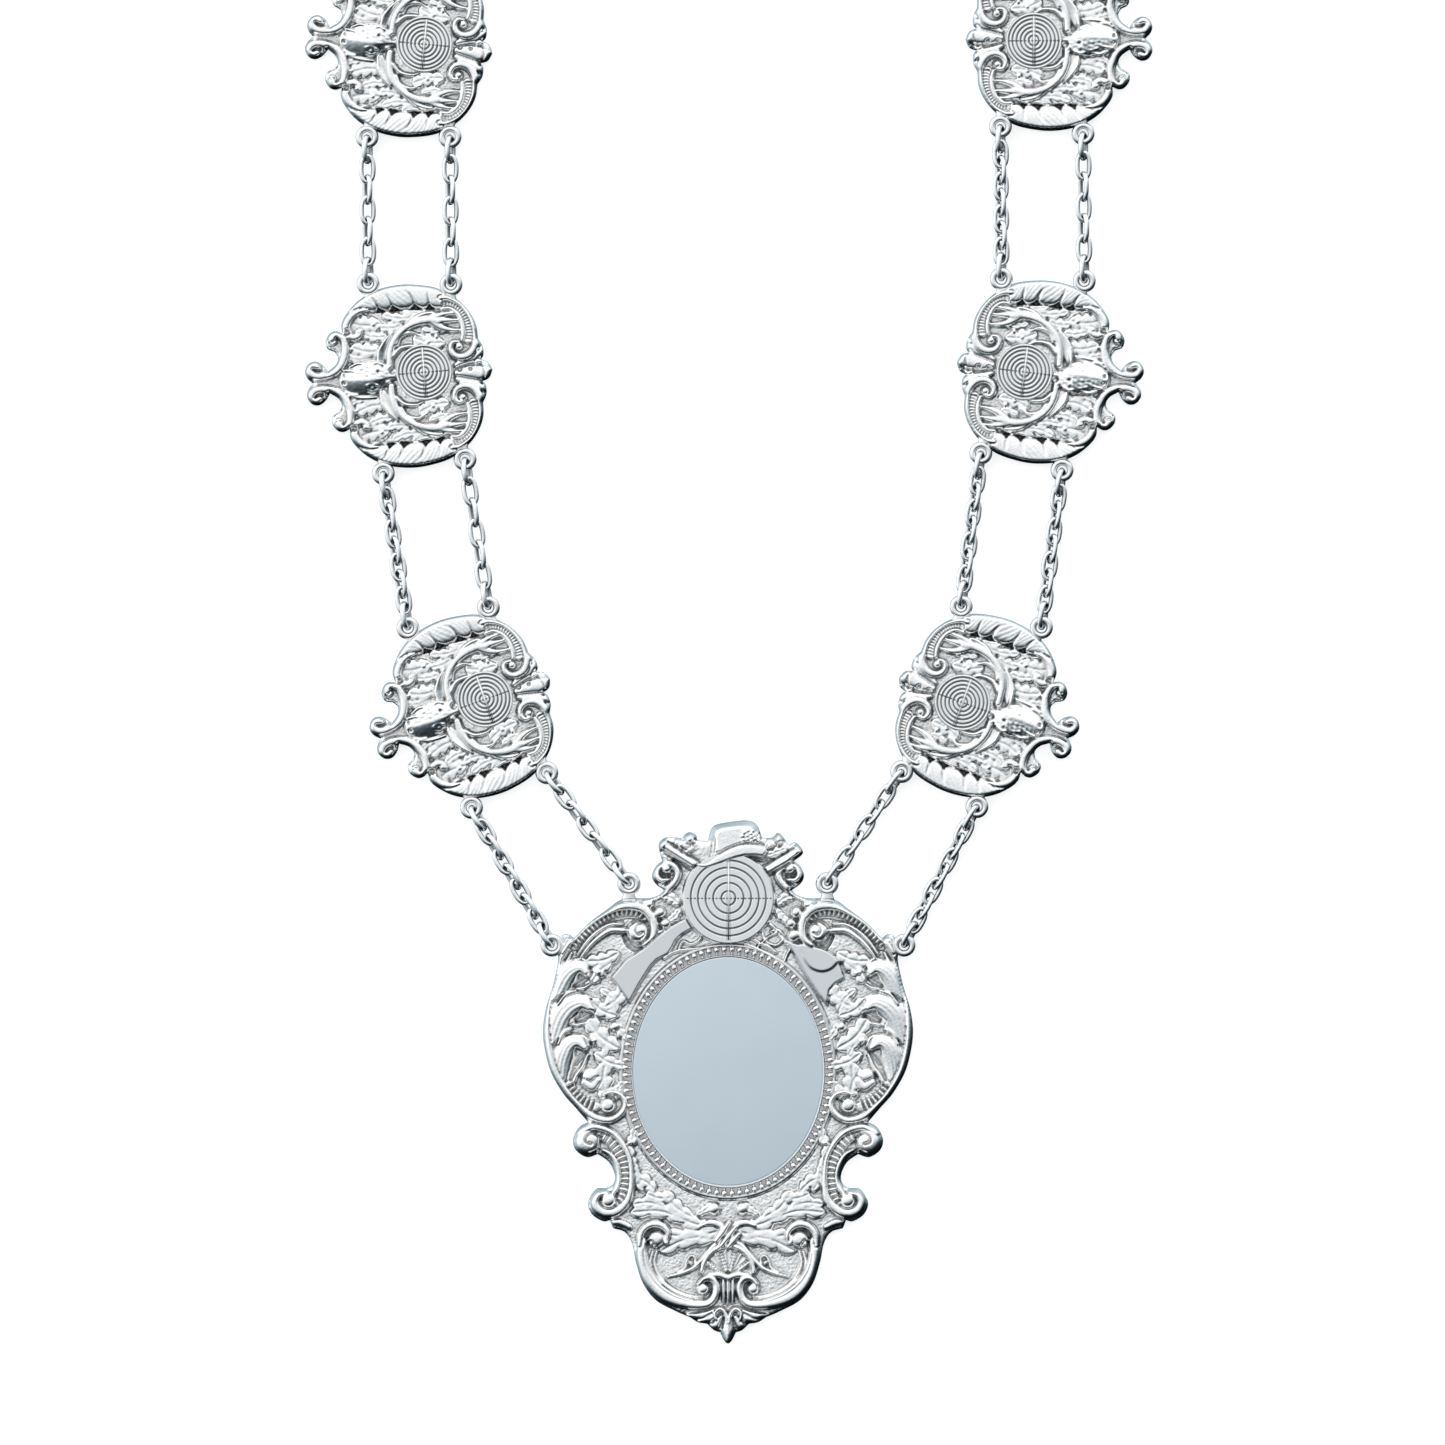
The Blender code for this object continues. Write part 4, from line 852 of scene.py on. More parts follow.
def pendant_head(field):
    """Rifles, target ground, hat and the oak leaves behind them."""
    for _ in field.halves():
        for root, tip, width in (((766, 856), (787, 848), 13), ((764, 852), (771, 839), 11),
                                 ((774, 858), (794, 856), 8), ((768, 846), (782, 841), 9)):
            field.leaf(root, tip, width, 3.3)
    for spot in ((690, 838.5), (778.5, 838.5)):
        field.ball(spot, 5.8, 4.6, flat=1.2)
    # Trigger guards and locks below the target
    for width, path in (
        (3, ((703, 934), (698, 941), (690, 944), (683, 941), (679, 948))),
        (3, ((752, 937), (760, 943), (768, 946), (776, 952))),
        (3, ((762, 932), (766, 941), (776, 945), (783, 938), (779, 930), (771, 931))),
        (3, ((664, 958), (676, 951), (700, 948))), (4, ((745, 943), (770, 955), (784, 966))),
        (4, ((768, 922), (780, 934), (790, 948))), (2.4, ((758, 946), (768, 937), (776, 933))),
        (2.4, ((784, 962), (788, 952), (794, 946))),
    ):
        field.ridge(path, width, 3.1, pillow)
    for stock in (LEFT_STOCK, RIGHT_STOCK):
        field.polygon(stock, STOCK_TOP, 1.2, over=True, polish=1.0)
    field.polygon(smooth(CHEEK, closed=True), STOCK_TOP + 0.45, 2.2, polish=1.0)
    # Barrels, each with a groove along either side and one on top, and its muzzle
    for end, foot in np.array((((660.5, 844), (700, 868.5)), ((800.5, 850.5), (765, 871)))):
        along = unit(foot - end)
        across = np.array((-along[1], along[0]))
        field.ridge((end, foot), 11, 4.6, lambda s, run, total: roll(s, 3), over=True, cut=True)
        for offset in (-5.5, 5.5):
            field.groove((end + across * offset, foot + across * offset), 2.6, 0.8)
        field.groove((end + along * 6 + across * 1.5, foot + across * 1.5), 1.8, 0.35)
        field.ridge((end - along * 1.5, end + along * 4), 15, 5.0, pillow, over=True, cut=True)
    # Rim of the ground round the target
    reach = TARGET_RADIUS + 2
    ring = [(TARGET_CENTRE[0] + reach * math.cos(a), TARGET_CENTRE[1] + reach * math.sin(a))
            for a in np.linspace(0, 2 * math.pi, 60)]
    field.polygon(ring, 2.6, 2, over=True)
    # Hat: crown, posy, band and brim, all without the punched ground
    field.polygon(smooth(HAT_CROWN, closed=True), HAT_TOP - 0.4, 7, over=True)
    field.stipple[field.window(*HAT_BOX)] = 0.0
    for ring, count, radius in ((0, 1, 2.4), (4.6, 6, 2.3), (9.0, 11, 2.1)):
        for k in range(count):
            a = 2 * math.pi * k / count + ring
            spot = (751 + ring * math.cos(a), 837 + 0.78 * ring * math.sin(a))
            field.ball(spot, radius, HAT_TOP + 0.3, base=HAT_TOP - 1.0)
    field.groove(((711.5, 852), (722, 852.5), (734, 848), (746, 844), (760, 844)), 2.6, 0.5)
    field.bar(HAT_BRIM, (3.5, 6, 11, 13.5, 15, 15.5, 13), HAT_TOP + 0.1,
              lambda s, run, total: roll(s, 6) * (0.97 - 0.35 * np.clip(2.2 * s - 1.1, 0, 1)))
    under = ((699, 868.5), (708, 869.5), (720, 867), (732, 862.5), (745, 859.5), (756, 859.5), (766, 861))
    field.groove(under, 3.4, 0.9)


# Medallion relief


MEDALLION_UPPER_EDGE = (
    ((-98, 0), (-103.5, 6), (-105, 13), (-101, 20), (-94, 22), (-87, 18), (-82, 11)),
    ((-82, 11), (-74, 17), (-71, 24), (-74, 30)),
    ((-74, 30), (-81, 34), (-82, 42), (-77, 49), (-71, 50.5), (-65, 48)),
    ((-65, 48), (-65, 57), (-60, 66), (-48, 78), (-30, 87.5), (-8, 91.5), (12, 90.5), (34, 85),
     (52, 73), (63, 60), (69, 46), (70, 32)),
    ((70, 32), (74, 24), (74, 15), (71, 11)),
    ((71, 11), (78, 8), (82, 0)),
)
MEDALLION_TARGET = (13.7, 2.2)
MEDALLION_TARGET_RADIUS = 28.0
MEDALLION_GROOVES = (5.0, 9.2, 13.2, 17.2, 21.3, 25.0)
HEAD_PLACES = (-72, -69, -64, -56, -46, -36, -28, -20, -13)
HEAD_UPPER = (4, 9, 12, 15, 18.5, 20, 17, 12, 6)
HEAD_LOWER = (5, 10, 13, 16, 18, 16, 10, 5, 2)
HEAD_HEIGHT = (2.9, 3.4, 3.7, 4.1, 4.5, 4.7, 4.5, 3.6, 2.6)
HEAD_CREST = ((-70, -40, -20), (0.5, -1.5, 0))


def medallion_field():
    """A medallion's face without its target and lugs."""
    upper = runs(MEDALLION_UPPER_EDGE)
    ring = np.vstack([upper[::-1][:-1], (upper * (1, -1))[:-1]])
    field = Field(ring, MEDALLION_GROUND, MEDALLION_EDGE, MEDALLION_BEVEL, axis=1, middle=0.0)
    for turn in field.halves():
        medallion_half(field, turn)
    stag(field)
    return field


def medallion_half(field, turn):
    """Leaves, scrolls and antler of the upper half, or of the lower one with turn -1."""
    top = MEDALLION_SCROLL_TOP
    # Oak leaves and acorns on the ground
    for root, tip, width in (
        ((-25, 54), (-58, 58), 27), ((-24, 27), (-58, 33), 23), ((-20, 41), (-45, 45), 15),
        ((-4, 51), (-27, 50), 16), ((37, 30), (5, 38), 22), ((8, 58), (-24, 63), 15),
        ((28, 62), (-4, 66), 13), ((-42, 20), (-63, 24), 12), ((42, 44), (14, 46), 11),
    ):
        field.leaf(root, tip, width, 2.55, bend=0.08)
    for x, y, radius in ((-46, 46, 3.2), (-57, 31, 2.6), (-33, 54, 2.6), (29, 37, 2.6), (20, 32, 2.2)):
        field.ball((x, y), radius, 2.9)
    # Acanthus border, lobed inwards and rolled up at its outer end
    border = ((-60, 55), (-58, 63), (-50, 71.5), (-38, 77), (-22, 80), (-5, 81), (12, 80), (28, 77),
              (42, 72), (52, 66))
    field.bar(border, (7, 13, 20, 27, 30, 30, 29, 26, 20, 11), top + 0.1,
              acanthus(turn, pitch=19, flute=5.2, slant=13))
    roll_end = ((-38, 68.5), (-46, 68), (-55, 63), (-60.5, 55), (-60, 47), (-54.5, 42.5), (-48, 44),
                (-46, 49))
    field.bar(roll_end, (3, 6, 8.5, 10, 10, 9, 8, 6), top + 0.3)
    field.ball((-48.5, 47.5), 4, top + 0.35, base=2.6)
    field.ridge(((-51, 63), (-45, 65.5), (-38, 64.5)), (2, 2.6, 2), 2.9)
    # Rim scroll: a channel with cross ribs between two ridges, then its volute
    channel = ((40, 69), (49, 66.5), (56, 59.5), (60, 50), (61, 40), (60, 31))
    field.bar(channel, (6, 9, 10, 10, 10, 8), 2.8, ribbed(0.30, 0.5, 2.9, gap=0))
    field.bar(((36, 64), (44, 64), (51, 58.5), (55, 50), (56, 40), (54.5, 32)), (4, 5, 5.5, 6, 6, 5), 3.1)
    rim = ((36, 75), (46, 74), (56, 68), (63, 58), (67, 47), (68.5, 36), (67, 26), (61.5, 17.5),
           (53, 14.5), (45.5, 17), (42, 23.5), (44.5, 29.5), (50, 30))
    field.bar(rim, (5, 7, 7, 6.5, 6, 6, 7, 8.5, 9, 8.5, 7.5, 6, 4), top + 0.35)
    field.ball((50.5, 25.5), 4.2, top + 0.35, base=2.7)
    # Outer scroll arms, rolled at both ends
    arm = ((-75, 41), (-74, 46.5), (-68.5, 47), (-64, 42), (-62.5, 34), (-63.5, 26), (-68, 16.5),
           (-76, 9.5), (-88, 6.5), (-97, 8), (-101, 14), (-97, 18.5), (-92, 16.5))
    field.bar(arm, (9, 9, 8, 8, 8.5, 9.5, 9.5, 9.5, 9, 8.5, 9, 9, 8), top + 0.1)
    field.groove(((-78, 39), (-73.5, 40), (-70.5, 43.5)), 2.6, 0.7)
    field.groove(((-88, 13.5), (-93, 12.5), (-97, 14)), 2.6, 0.7)
    field.ridge(((-60.5, 36), (-60.5, 27), (-64.5, 18)), (2, 3, 2), 2.9)
    # Crest leaves
    field.ridge(((46, 7), (56, 12), (64, 14), (72, 18)), (5, 10, 11, 5), 3.1, pillow)
    field.ridge(((66, 8), (72, 12), (73, 20)), (4, 6, 4), 3.0)
    # Ear with its hollow
    field.bar(((-29, 15), (-25.5, 26), (-20, 36), (-15.5, 44)), (8, 13, 10, 2), 3.8,
              lambda s, run, total: roll(s, 6) * (0.45 + 0.55 * np.clip(0.2 + 0.9 * s * turn, 0, 1)))
    # Antler: tines and palm, and its beam last
    for tine, widths, tops in (
        (((1, 51), (12, 58.5), (24, 61), (33, 59.5)), (5, 5, 4, 2), (3.3, 3.3, 2.9)),
        (((24, 55), (34, 58), (43, 59), (50.5, 58)), (8, 7, 5, 2), (3.5, 3.4, 2.9)),
        (((28, 53), (38, 52.5), (52, 51.5)), (9, 7, 3), (3.5, 3.4, 2.9)),
        (((26, 52), (34, 46), (43, 42.5), (53, 41.5)), (9, 8, 6, 3), (3.5, 3.4, 2.9)),
        (((-16, 21), (-8, 28), (4, 29.5), (12, 26)), (6, 5, 4, 1.5), (3.4, 3.2, 3.1, 2.7)),
        (((-12, 33), (-7, 40), (4, 43), (13, 39)), (7, 5.5, 4, 1.5), (3.4, 3.3, 3.1, 2.7)),
        (((-20, 9), (-18.5, 25), (-12.5, 38), (-2, 47.5), (10, 52.5), (22, 54), (32, 52)),
         (8, 7.5, 8, 8, 8.5, 10, 9), ANTLER_TOP),
    ):
        field.ridge(tine, widths, tops, pillow)


def stag(field):
    """The stag's head turned a little: snout outwards, brow towards the target."""
    box = field.window((-74, -24), (-8, 24))
    u, v = field.x[box], field.y[box]
    upper, lower, high = (np.interp(u, HEAD_PLACES, row) for row in (HEAD_UPPER, HEAD_LOWER, HEAD_HEIGHT))
    crest = np.interp(u, *HEAD_CREST)
    across = np.where(v > crest, (v - crest) / (upper - crest), (crest - v) / (lower + crest))
    fall = np.where(v > crest, 0.36 * across**2, 0.78 * across**1.3)
    fur = 0.10 * np.sin(u * 0.9 + 0.8 * v) * np.sin(0.35 * u - 0.5 * v) * (v > 3)
    shape = (high - MEDALLION_GROUND) * (1 - fall) * roll(across, 14) + MEDALLION_GROUND + fur
    field.lay(box, (np.abs(across) < 1) & (u > HEAD_PLACES[0]) & (u < HEAD_PLACES[-1]), shape)
    # Lids, and folds of the snout and the jaw
    for path, width, top in (
        (((-60, 13), (-52, 16), (-44, 15)), 2.2, 4.0), (((-50, 10), (-43, 12), (-37, 10)), 2.2, 4.3),
        (((-66, 10), (-58, 9), (-50, 6)), 2.0, 4.1), (((-37, 14), (-32, 15.5), (-27, 13)), 2.4, 4.35),
        (((-44, -6.5), (-39, -5), (-33, -7.5)), 2.2, 4.4), (((-44, -11), (-39, -13), (-33, -11)), 2.0, 3.6),
        (((-63, -15), (-54, -17.5), (-45, -18.5), (-36, -18.5)), 3.2, 2.9),
        (((-66, -11), (-60, -14), (-54, -15)), 2.2, 3.0),
    ):
        field.ridge(path, width, top, base=top - 0.5)
    # Strokes of fur on the brow and the cheek, which fan out from the snout
    for u, v, lean, length in (
        (-50, 5, 0.10, 7), (-43, 6.5, 0.15, 8), (-35, 3, 0.0, 8), (-27, 6, 0.1, 8), (-46, 2, 0.0, 8),
        (-30, 0.5, -0.1, 8), (-24, 11, 0.35, 7), (-21, 3, 0.0, 6), (-57, 2, 0.05, 7), (-39, 17, 0.2, 6),
        (-31, -12, -0.5, 6), (-27, -6, -0.35, 7), (-46, -14, -0.2, 7), (-53, -11, -0.15, 7),
    ):
        reach = 0.5 * length * np.array((math.cos(lean), math.sin(lean)))
        field.groove(((u, v) - reach, (u, v) + reach), 1.7, 0.10)
    # Eyes, then nostrils and other small hollows
    field.ball((-38.5, -9), 2.9, 4.0, base=3.0)
    field.ball((-32, 9.5), 2.6, 4.5, base=3.9)
    for centre, radius, low in (((-17.5, 6), 3.6, 2.2), ((-66.5, -2.5), 1.9, 2.6), ((-32, 5.5), 1.8, 4.0),
                                ((-66.5, 5), 1.9, 2.9), ((-60, -48), 3.6, 1.9), ((-60, 48), 3.6, 1.9)):
        field.dent(centre, radius, low)
    # Centre leaf of the crest, with its thick cut end
    crest_leaf = ((44, -1), (56, -1), (68, -2.5), (80, -5))
    field.ridge(crest_leaf, (6, 13, 16, 17), 3.4, pillow, over=True, cut=True)
    field.groove(((70, 6), (73.5, -2), (73, -11)), 2.4, 0.7)
    for x in (49.5, 60):
        field.dent((x, 2.2), 2.6, 2.3)


# Looks


class Tree:
    """Short ways to add and join the nodes of a material or a world."""

    def __init__(self, owner):
        owner.use_nodes = True
        self.nodes = owner.node_tree.nodes
        self.links = owner.node_tree.links

    def add(self, kind, inputs=(), **settings):
        """A node with its settings made and its inputs joined or given a value."""
        node = self.nodes.new("ShaderNode" + kind)
        for key, value in settings.items():
            setattr(node, key, value)
        for key, value in dict(inputs).items():
            self.feed(node.inputs[key], value)
        return node

    def feed(self, socket, value):
        """Joins an output to a socket, or sets the socket's own value."""
        if isinstance(value, bpy.types.NodeSocket):
            self.links.new(value, socket)
        else:
            socket.default_value = value

    def maths(self, operation, *values, clamp=False):
        """One step of arithmetic on up to three values."""
        return self.add("Math", enumerate(values), operation=operation, use_clamp=clamp).outputs[0]

    def ramp(self, value, stops):
        """A colour ramp fed by a value."""
        node = self.add("ValToRGB", {"Fac": value})
        elements = node.color_ramp.elements
        while len(elements) < len(stops):
            elements.new(0.5)
        for element, (place, colour) in zip(elements, stops):
            element.position = place
            element.color = (*colour, 1)
        return node.outputs["Color"]

    def attribute(self, name):
        """A mesh attribute's value."""
        return self.add("Attribute", attribute_name=name).outputs["Fac"]

    def noise(self, scale, detail):
        """Cloudy noise fixed to the object."""
        place = self.add("TexCoord").outputs["Object"]
        return self.add("TexNoise", {"Vector": place, "Scale": scale, "Detail": detail}).outputs["Fac"]

    def dots(self, scale):
        """Rounded cells fixed to the object."""
        place = self.add("TexCoord").outputs["Object"]
        return self.add("TexVoronoi", {"Vector": place, "Scale": scale}).outputs["Distance"]

    def mix(self, share, a, b):
        """Two colours mixed."""
        return self.add("Mix", {"Factor": share, 6: a, 7: b}, data_type="RGBA").outputs[2]

    def bump(self, height, strength, distance):
        """A normal that follows a height, with the distance in millimetres."""
        values = {"Height": height, "Strength": strength, "Distance": distance * MM}
        return self.add("Bump", values).outputs["Normal"]


def metal(name):
    """A new metal, its node tree and its shader's inputs."""
    material = bpy.data.materials.new(name)
    tree = Tree(material)
    shader = tree.nodes["Principled BSDF"].inputs
    shader["Metallic"].default_value = 1.0
    return material, tree, shader


def cast_silver():
    """Frosted cast silver, bright on the crests, dark in the hollows with patina and painted shade, with
    polished fields.
    """
    material, tree, shader = metal("cast_silver")
    polish = tree.attribute("polish")
    cloud = tree.noise(scale=420, detail=4)
    grain = tree.noise(scale=2600, detail=3)
    bright = tree.ramp(cloud, ((0.3, (0.88, 0.885, 0.89)), (0.7, (0.96, 0.96, 0.955))))
    # Near black for creases, hollows and the feet of forms, as the mesh marks them: patina and painted shade
    dark = tree.ramp(cloud, ((0.3, (0.030, 0.042, 0.048)), (0.7, (0.10, 0.12, 0.13))))
    patina_shade_share = tree.maths("MULTIPLY", tree.attribute("patina_and_shade"), 0.85, clamp=True)
    clean = tree.mix(polish, bright, POLISHED_SILVER)
    tree.feed(shader["Base Color"], tree.mix(patina_shade_share, clean, dark))
    rough = tree.maths("MULTIPLY_ADD", grain, 0.12, 0.15)
    tree.feed(shader["Roughness"], tree.maths("MULTIPLY_ADD", polish, -0.05, rough))
    # Punched ground and a fine casting skin
    punched = tree.maths("MULTIPLY", tree.dots(scale=1500), tree.attribute("stipple"))
    skin = tree.maths("MULTIPLY", grain, tree.maths("SUBTRACT", 1.0, polish))
    relief = tree.maths("MULTIPLY_ADD", skin, 0.25, tree.maths("MULTIPLY", punched, 0.9))
    tree.feed(shader["Normal"], tree.bump(relief, strength=0.55, distance=0.16))
    return material


def wire_silver():
    """Drawn silver wire, polished, with faint wear, its inner side darkened with patina and painted shade.
    """
    material, tree, shader = metal("chain_silver")
    cloud = tree.noise(scale=700, detail=5)
    clean = tree.ramp(cloud, ((0.3, (0.80, 0.82, 0.845)), (0.7, (0.93, 0.94, 0.95))))
    # The wire's inner side is mixed towards near black: patina and painted shade
    tree.feed(shader["Base Color"], tree.mix(tree.attribute("patina_and_shade"), clean, WIRE_SHADE_AND_PATINA_COLOUR))
    tree.feed(shader["Roughness"], tree.maths("MULTIPLY_ADD", cloud, 0.16, 0.06))
    wear = tree.noise(scale=3000, detail=2)
    tree.feed(shader["Normal"], tree.bump(wear, strength=0.12, distance=0.1))
    return material


def oval_silver():
    """The oval's plain polished field."""
    material, tree, shader = metal("oval_silver")
    cloud = tree.noise(scale=60, detail=2)
    colour = tree.ramp(cloud, ((0.3, (0.605, 0.685, 0.745)), (0.7, (0.63, 0.71, 0.765))))
    tree.feed(shader["Base Color"], colour)
    grain = tree.noise(scale=2400, detail=2)
    tree.feed(shader["Roughness"], tree.maths("MULTIPLY_ADD", grain, 0.05, 0.2))
    return material


# Pieces


def add_piece(name, mesh, material, slot, *replaced, matrix=None):
    """An object that rides the chain's one body, and takes the place of the CAD nodes it names."""
    thing = bpy.data.objects.new(name, mesh)
    bpy.context.scene.collection.objects.link(thing)
    if matrix is not None:
        thing.matrix_world = matrix
    if not mesh.materials:
        mesh.materials.append(material)
    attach(thing, "root")
    if replaced:
        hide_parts(*replaced)


def lug_parts(x, y, dx, dy):
    """A lug, which is a flattened ring, and the solder web that runs from it along dx, dy."""
    toward = unit(np.array((dx, dy)))
    points = []
    for t in np.linspace(0, 1, WEB_STATIONS):
        reach = LUG_RADIUS * 0.75 + t * WEB_LENGTH
        half, thick = (start + growth * t for start, growth in (WEB_HALF, WEB_THICK))
        for k in range(WIRE_SIDES):
            a = 2 * math.pi * k / WIRE_SIDES
            off = half * math.cos(a)
            points.append(((x + toward[0] * reach - toward[1] * off) * MM,
                           (y + toward[1] * reach + toward[0] * off) * MM,
                           (CHAIN_LEVEL - 0.1 + thick * math.sin(a)) * MM))
    last = (WEB_STATIONS - 1) * WIRE_SIDES
    faces = band(WEB_STATIONS, WIRE_SIDES)
    faces += [list(range(WIRE_SIDES))[::-1], list(range(last, last + WIRE_SIDES))]
    size = (2 * LUG_RADIUS + LUG_WIRE, LUG_WIRE)
    ring = wire_ring(size, WIRE_STATIONS, WIRE_SIDES, (x, y, CHAIN_LEVEL), polish=0.6)
    return [ring, (points, faces, 0.3, 0.0, 0.0)]


def bead_part(centre, half, lean, low, rise):
    """The upper part of an oval bead: half is its half size along lean and across it."""
    rings = [(half[0] * share, half[1] * share, low + rise * up) for share, up in BEAD_SECTION]
    points, faces = turned((0, 0), rings, BEAD_SIDES)
    c, s = math.cos(lean), math.sin(lean)
    points[:, :2] = points[:, :2] @ np.array(((c, s), (-s, c))) + centre
    return points, faces, 0.1, 0.0, np.repeat(BEAD_SHADE_AND_PATINA, BEAD_SIDES)


def bead_row(reach, half, low, rise):
    """Equally spaced beads along an oval that runs at reach from the oval field's centre line."""
    across, along = reach, reach + OVAL_HALF[1] - OVAL_HALF[0]
    dense = np.linspace(0, 2 * math.pi, 2001)
    run = np.hypot(np.diff(across * np.cos(dense)), np.diff(along * np.sin(dense))).cumsum()
    parts = []
    for k in range(BEADS):
        at = np.interp(run[-1] * (k + 0.5) / BEADS, run, dense[1:])
        spot = (PENDANT_CENTRE[0] + across * math.cos(at), PENDANT_CENTRE[1] + along * math.sin(at))
        lean = math.atan2(across * math.sin(at), along * math.cos(at))
        parts.append(bead_part(spot, half, lean, low, rise))
    return parts


def add_pendant(silver, oval):
    """The relief with its target and lugs, the oval field, and the beaded frame round it."""
    holes = ((PENDANT_CENTRE, OVAL_HOLE, FAR), (TARGET_CENTRE, TARGET_HOLE, TARGET_TOP - 0.3))
    parts = [plate(pendant_field(), holes)]
    parts += target_parts(TARGET_CENTRE, TARGET_RADIUS, PENDANT_GROUND, TARGET_TOP, TARGET_GROOVES,
                          sides=120, depth=0.4, polish=0.6)
    parts = [in_metres(part, PENDANT_CENTRE, y_down=True) for part in parts]
    # Each outer lug's web runs inwards and down, each inner lug's straight down
    for i, (x, y) in enumerate(PENDANT_LUGS):
        dx, dy = (0, -1) if i % 2 else (-x, -PENDANT_WEB_FALL * abs(x))
        parts += lug_parts(x, y, dx, dy)
    add_piece("pendant_relief", mesh_of("pendant_relief", parts), silver, "cast_silver", "pendant")

    # Oval field, almost flat, on a short upright wall
    profile = [(1.0, 2.0), (0.998, OVAL_TOP - OVAL_CROWN - 0.06)]
    profile += [(share, OVAL_TOP - OVAL_CROWN * share**2)
                for share in (0.99, 0.98, 0.965, *np.linspace(0.93, 0.02, 9))]
    rings = [(OVAL_HALF[0] * share, OVAL_HALF[1] * share, level) for share, level in profile]
    part = in_metres((*turned(PENDANT_CENTRE, rings, 160), 1.0, 0.0, 0.0), PENDANT_CENTRE, y_down=True)
    add_piece("oval_field", mesh_of("oval_field", [part]), oval, "cast_silver")

    # A thin rim, the ring's sloping outer wall, the ground between them, beads and studs
    middle, width, low, top = OVAL_RIM
    arc = math.pi * np.arange(9) / 8
    rim = [(middle + width / 2 * math.cos(a), low + (top - low) * math.sin(a) ** 0.7) for a in arc]
    longer = OVAL_HALF[1] - OVAL_HALF[0]
    parts = []
    # The wall and the ground between rim and beads are darkened evenly: patina and painted shade
    for profile, dark in ((rim, 0.0), (OVAL_WALL, 0.35)):
        rings = [(reach, reach + longer, level) for reach, level in profile]
        parts.append((*turned(PENDANT_CENTRE, rings, 180, capped=False), 0.2, 0.0, dark))
    parts.append((*turned(PENDANT_CENTRE, OVAL_GROUND, 120), 0.0, 0.0, 0.6))
    parts += bead_row(*BEAD_ROW) + bead_row(*STUD_ROW)
    parts = [in_metres(part, PENDANT_CENTRE, y_down=True) for part in parts]
    add_piece("oval_beading", mesh_of("oval_beading", parts), silver, "cast_silver")


def add_medallions(silver):
    """Ten equal medallions; those on the right are turned half round."""
    hole = (MEDALLION_TARGET, MEDALLION_TARGET_HOLE, MEDALLION_TARGET_TOP - 0.3)
    parts = [plate(medallion_field(), [hole])]
    parts += target_parts(MEDALLION_TARGET, MEDALLION_TARGET_RADIUS, MEDALLION_GROUND,
                          MEDALLION_TARGET_TOP, MEDALLION_GROOVES, sides=90, depth=0.35, polish=0.45)
    parts = [in_metres(part) for part in parts]
    for x, y in MEDALLION_LUGS:
        parts += lug_parts(x, y, -MEDALLION_WEB_LEAN * x, -math.copysign(1, y))
    mesh = mesh_of("medallion_relief", parts)
    for side, route, spin in SIDES:
        for i, (x, y, turn) in enumerate(route):
            turned_by = Matrix.Rotation(math.radians(turn) + spin, 4, "Z")
            add_piece(f"{side}_medallion_relief_{i + 1}", mesh, silver, "cast_silver",
                      f"{side}_medallion_{i + 1}",
                      matrix=Matrix.Translation((x * MM, y * MM, 0)) @ turned_by)


def add_strand(name, start, end, wire):
    """Jump ring, links leaning to either side by turns, and a second jump ring, hooked together."""
    span = math.hypot(*(end - start))
    step = LINK_LENGTH - 2 * LINK_WIRE
    seat = JUMP_LENGTH - JUMP_WIRE - (JUMP_WIRE + LINK_WIRE) / 2
    count = max(1, math.ceil((span - 2 * seat - LINK_WIRE) / step))
    count += 1 - count % 2
    slack = (2 * seat + count * step + LINK_WIRE - span) / (count + 1)
    jump = tube_ring(JUMP_LENGTH, JUMP_WIDTH, JUMP_WIRE, WIRE_STATIONS, WIRE_SIDES)
    link = tube_ring(LINK_LENGTH, LINK_WIDTH, LINK_WIRE, WIRE_STATIONS, WIRE_SIDES)
    reach = (JUMP_LENGTH - JUMP_WIRE) / 2
    rings = [(jump, reach, JUMP_LEAN), (jump, span - reach, JUMP_LEAN)]
    at = seat - slack
    for i in range(count):
        lean = LINK_LEANS[i % 2] + LEAN_SWAY * math.sin(2.1 * i + span)
        rings.append((link, at + (LINK_LENGTH - LINK_WIRE) / 2, lean))
        at += step - slack
    heading = math.atan2(*(end - start)[::-1])
    turn = np.array(((math.cos(heading), math.sin(heading)), (-math.sin(heading), math.cos(heading))))
    inner_darkness = inner_shade_and_patina(WIRE_STATIONS, WIRE_SIDES)
    parts = []
    for (points, faces), middle, lean in rings:
        c, s = math.cos(math.radians(lean)), math.sin(math.radians(lean))
        points = points @ np.array(((1, 0, 0), (0, c, s), (0, -s, c))) + (middle, 0, CHAIN_LEVEL)
        points[:, :2] = points[:, :2] @ turn + start
        parts.append((points * MM, faces, 1.0, 0.0, inner_darkness))
    add_piece(name + "_links", mesh_of(name, parts), wire, "chain_silver", name)


def hook(ring):
    """How far from a wire ring's centre a strand that hangs in it ends, in millimetres."""
    size, thick = ring
    return (size - thick) / 2 - (thick + JUMP_WIRE) / 2


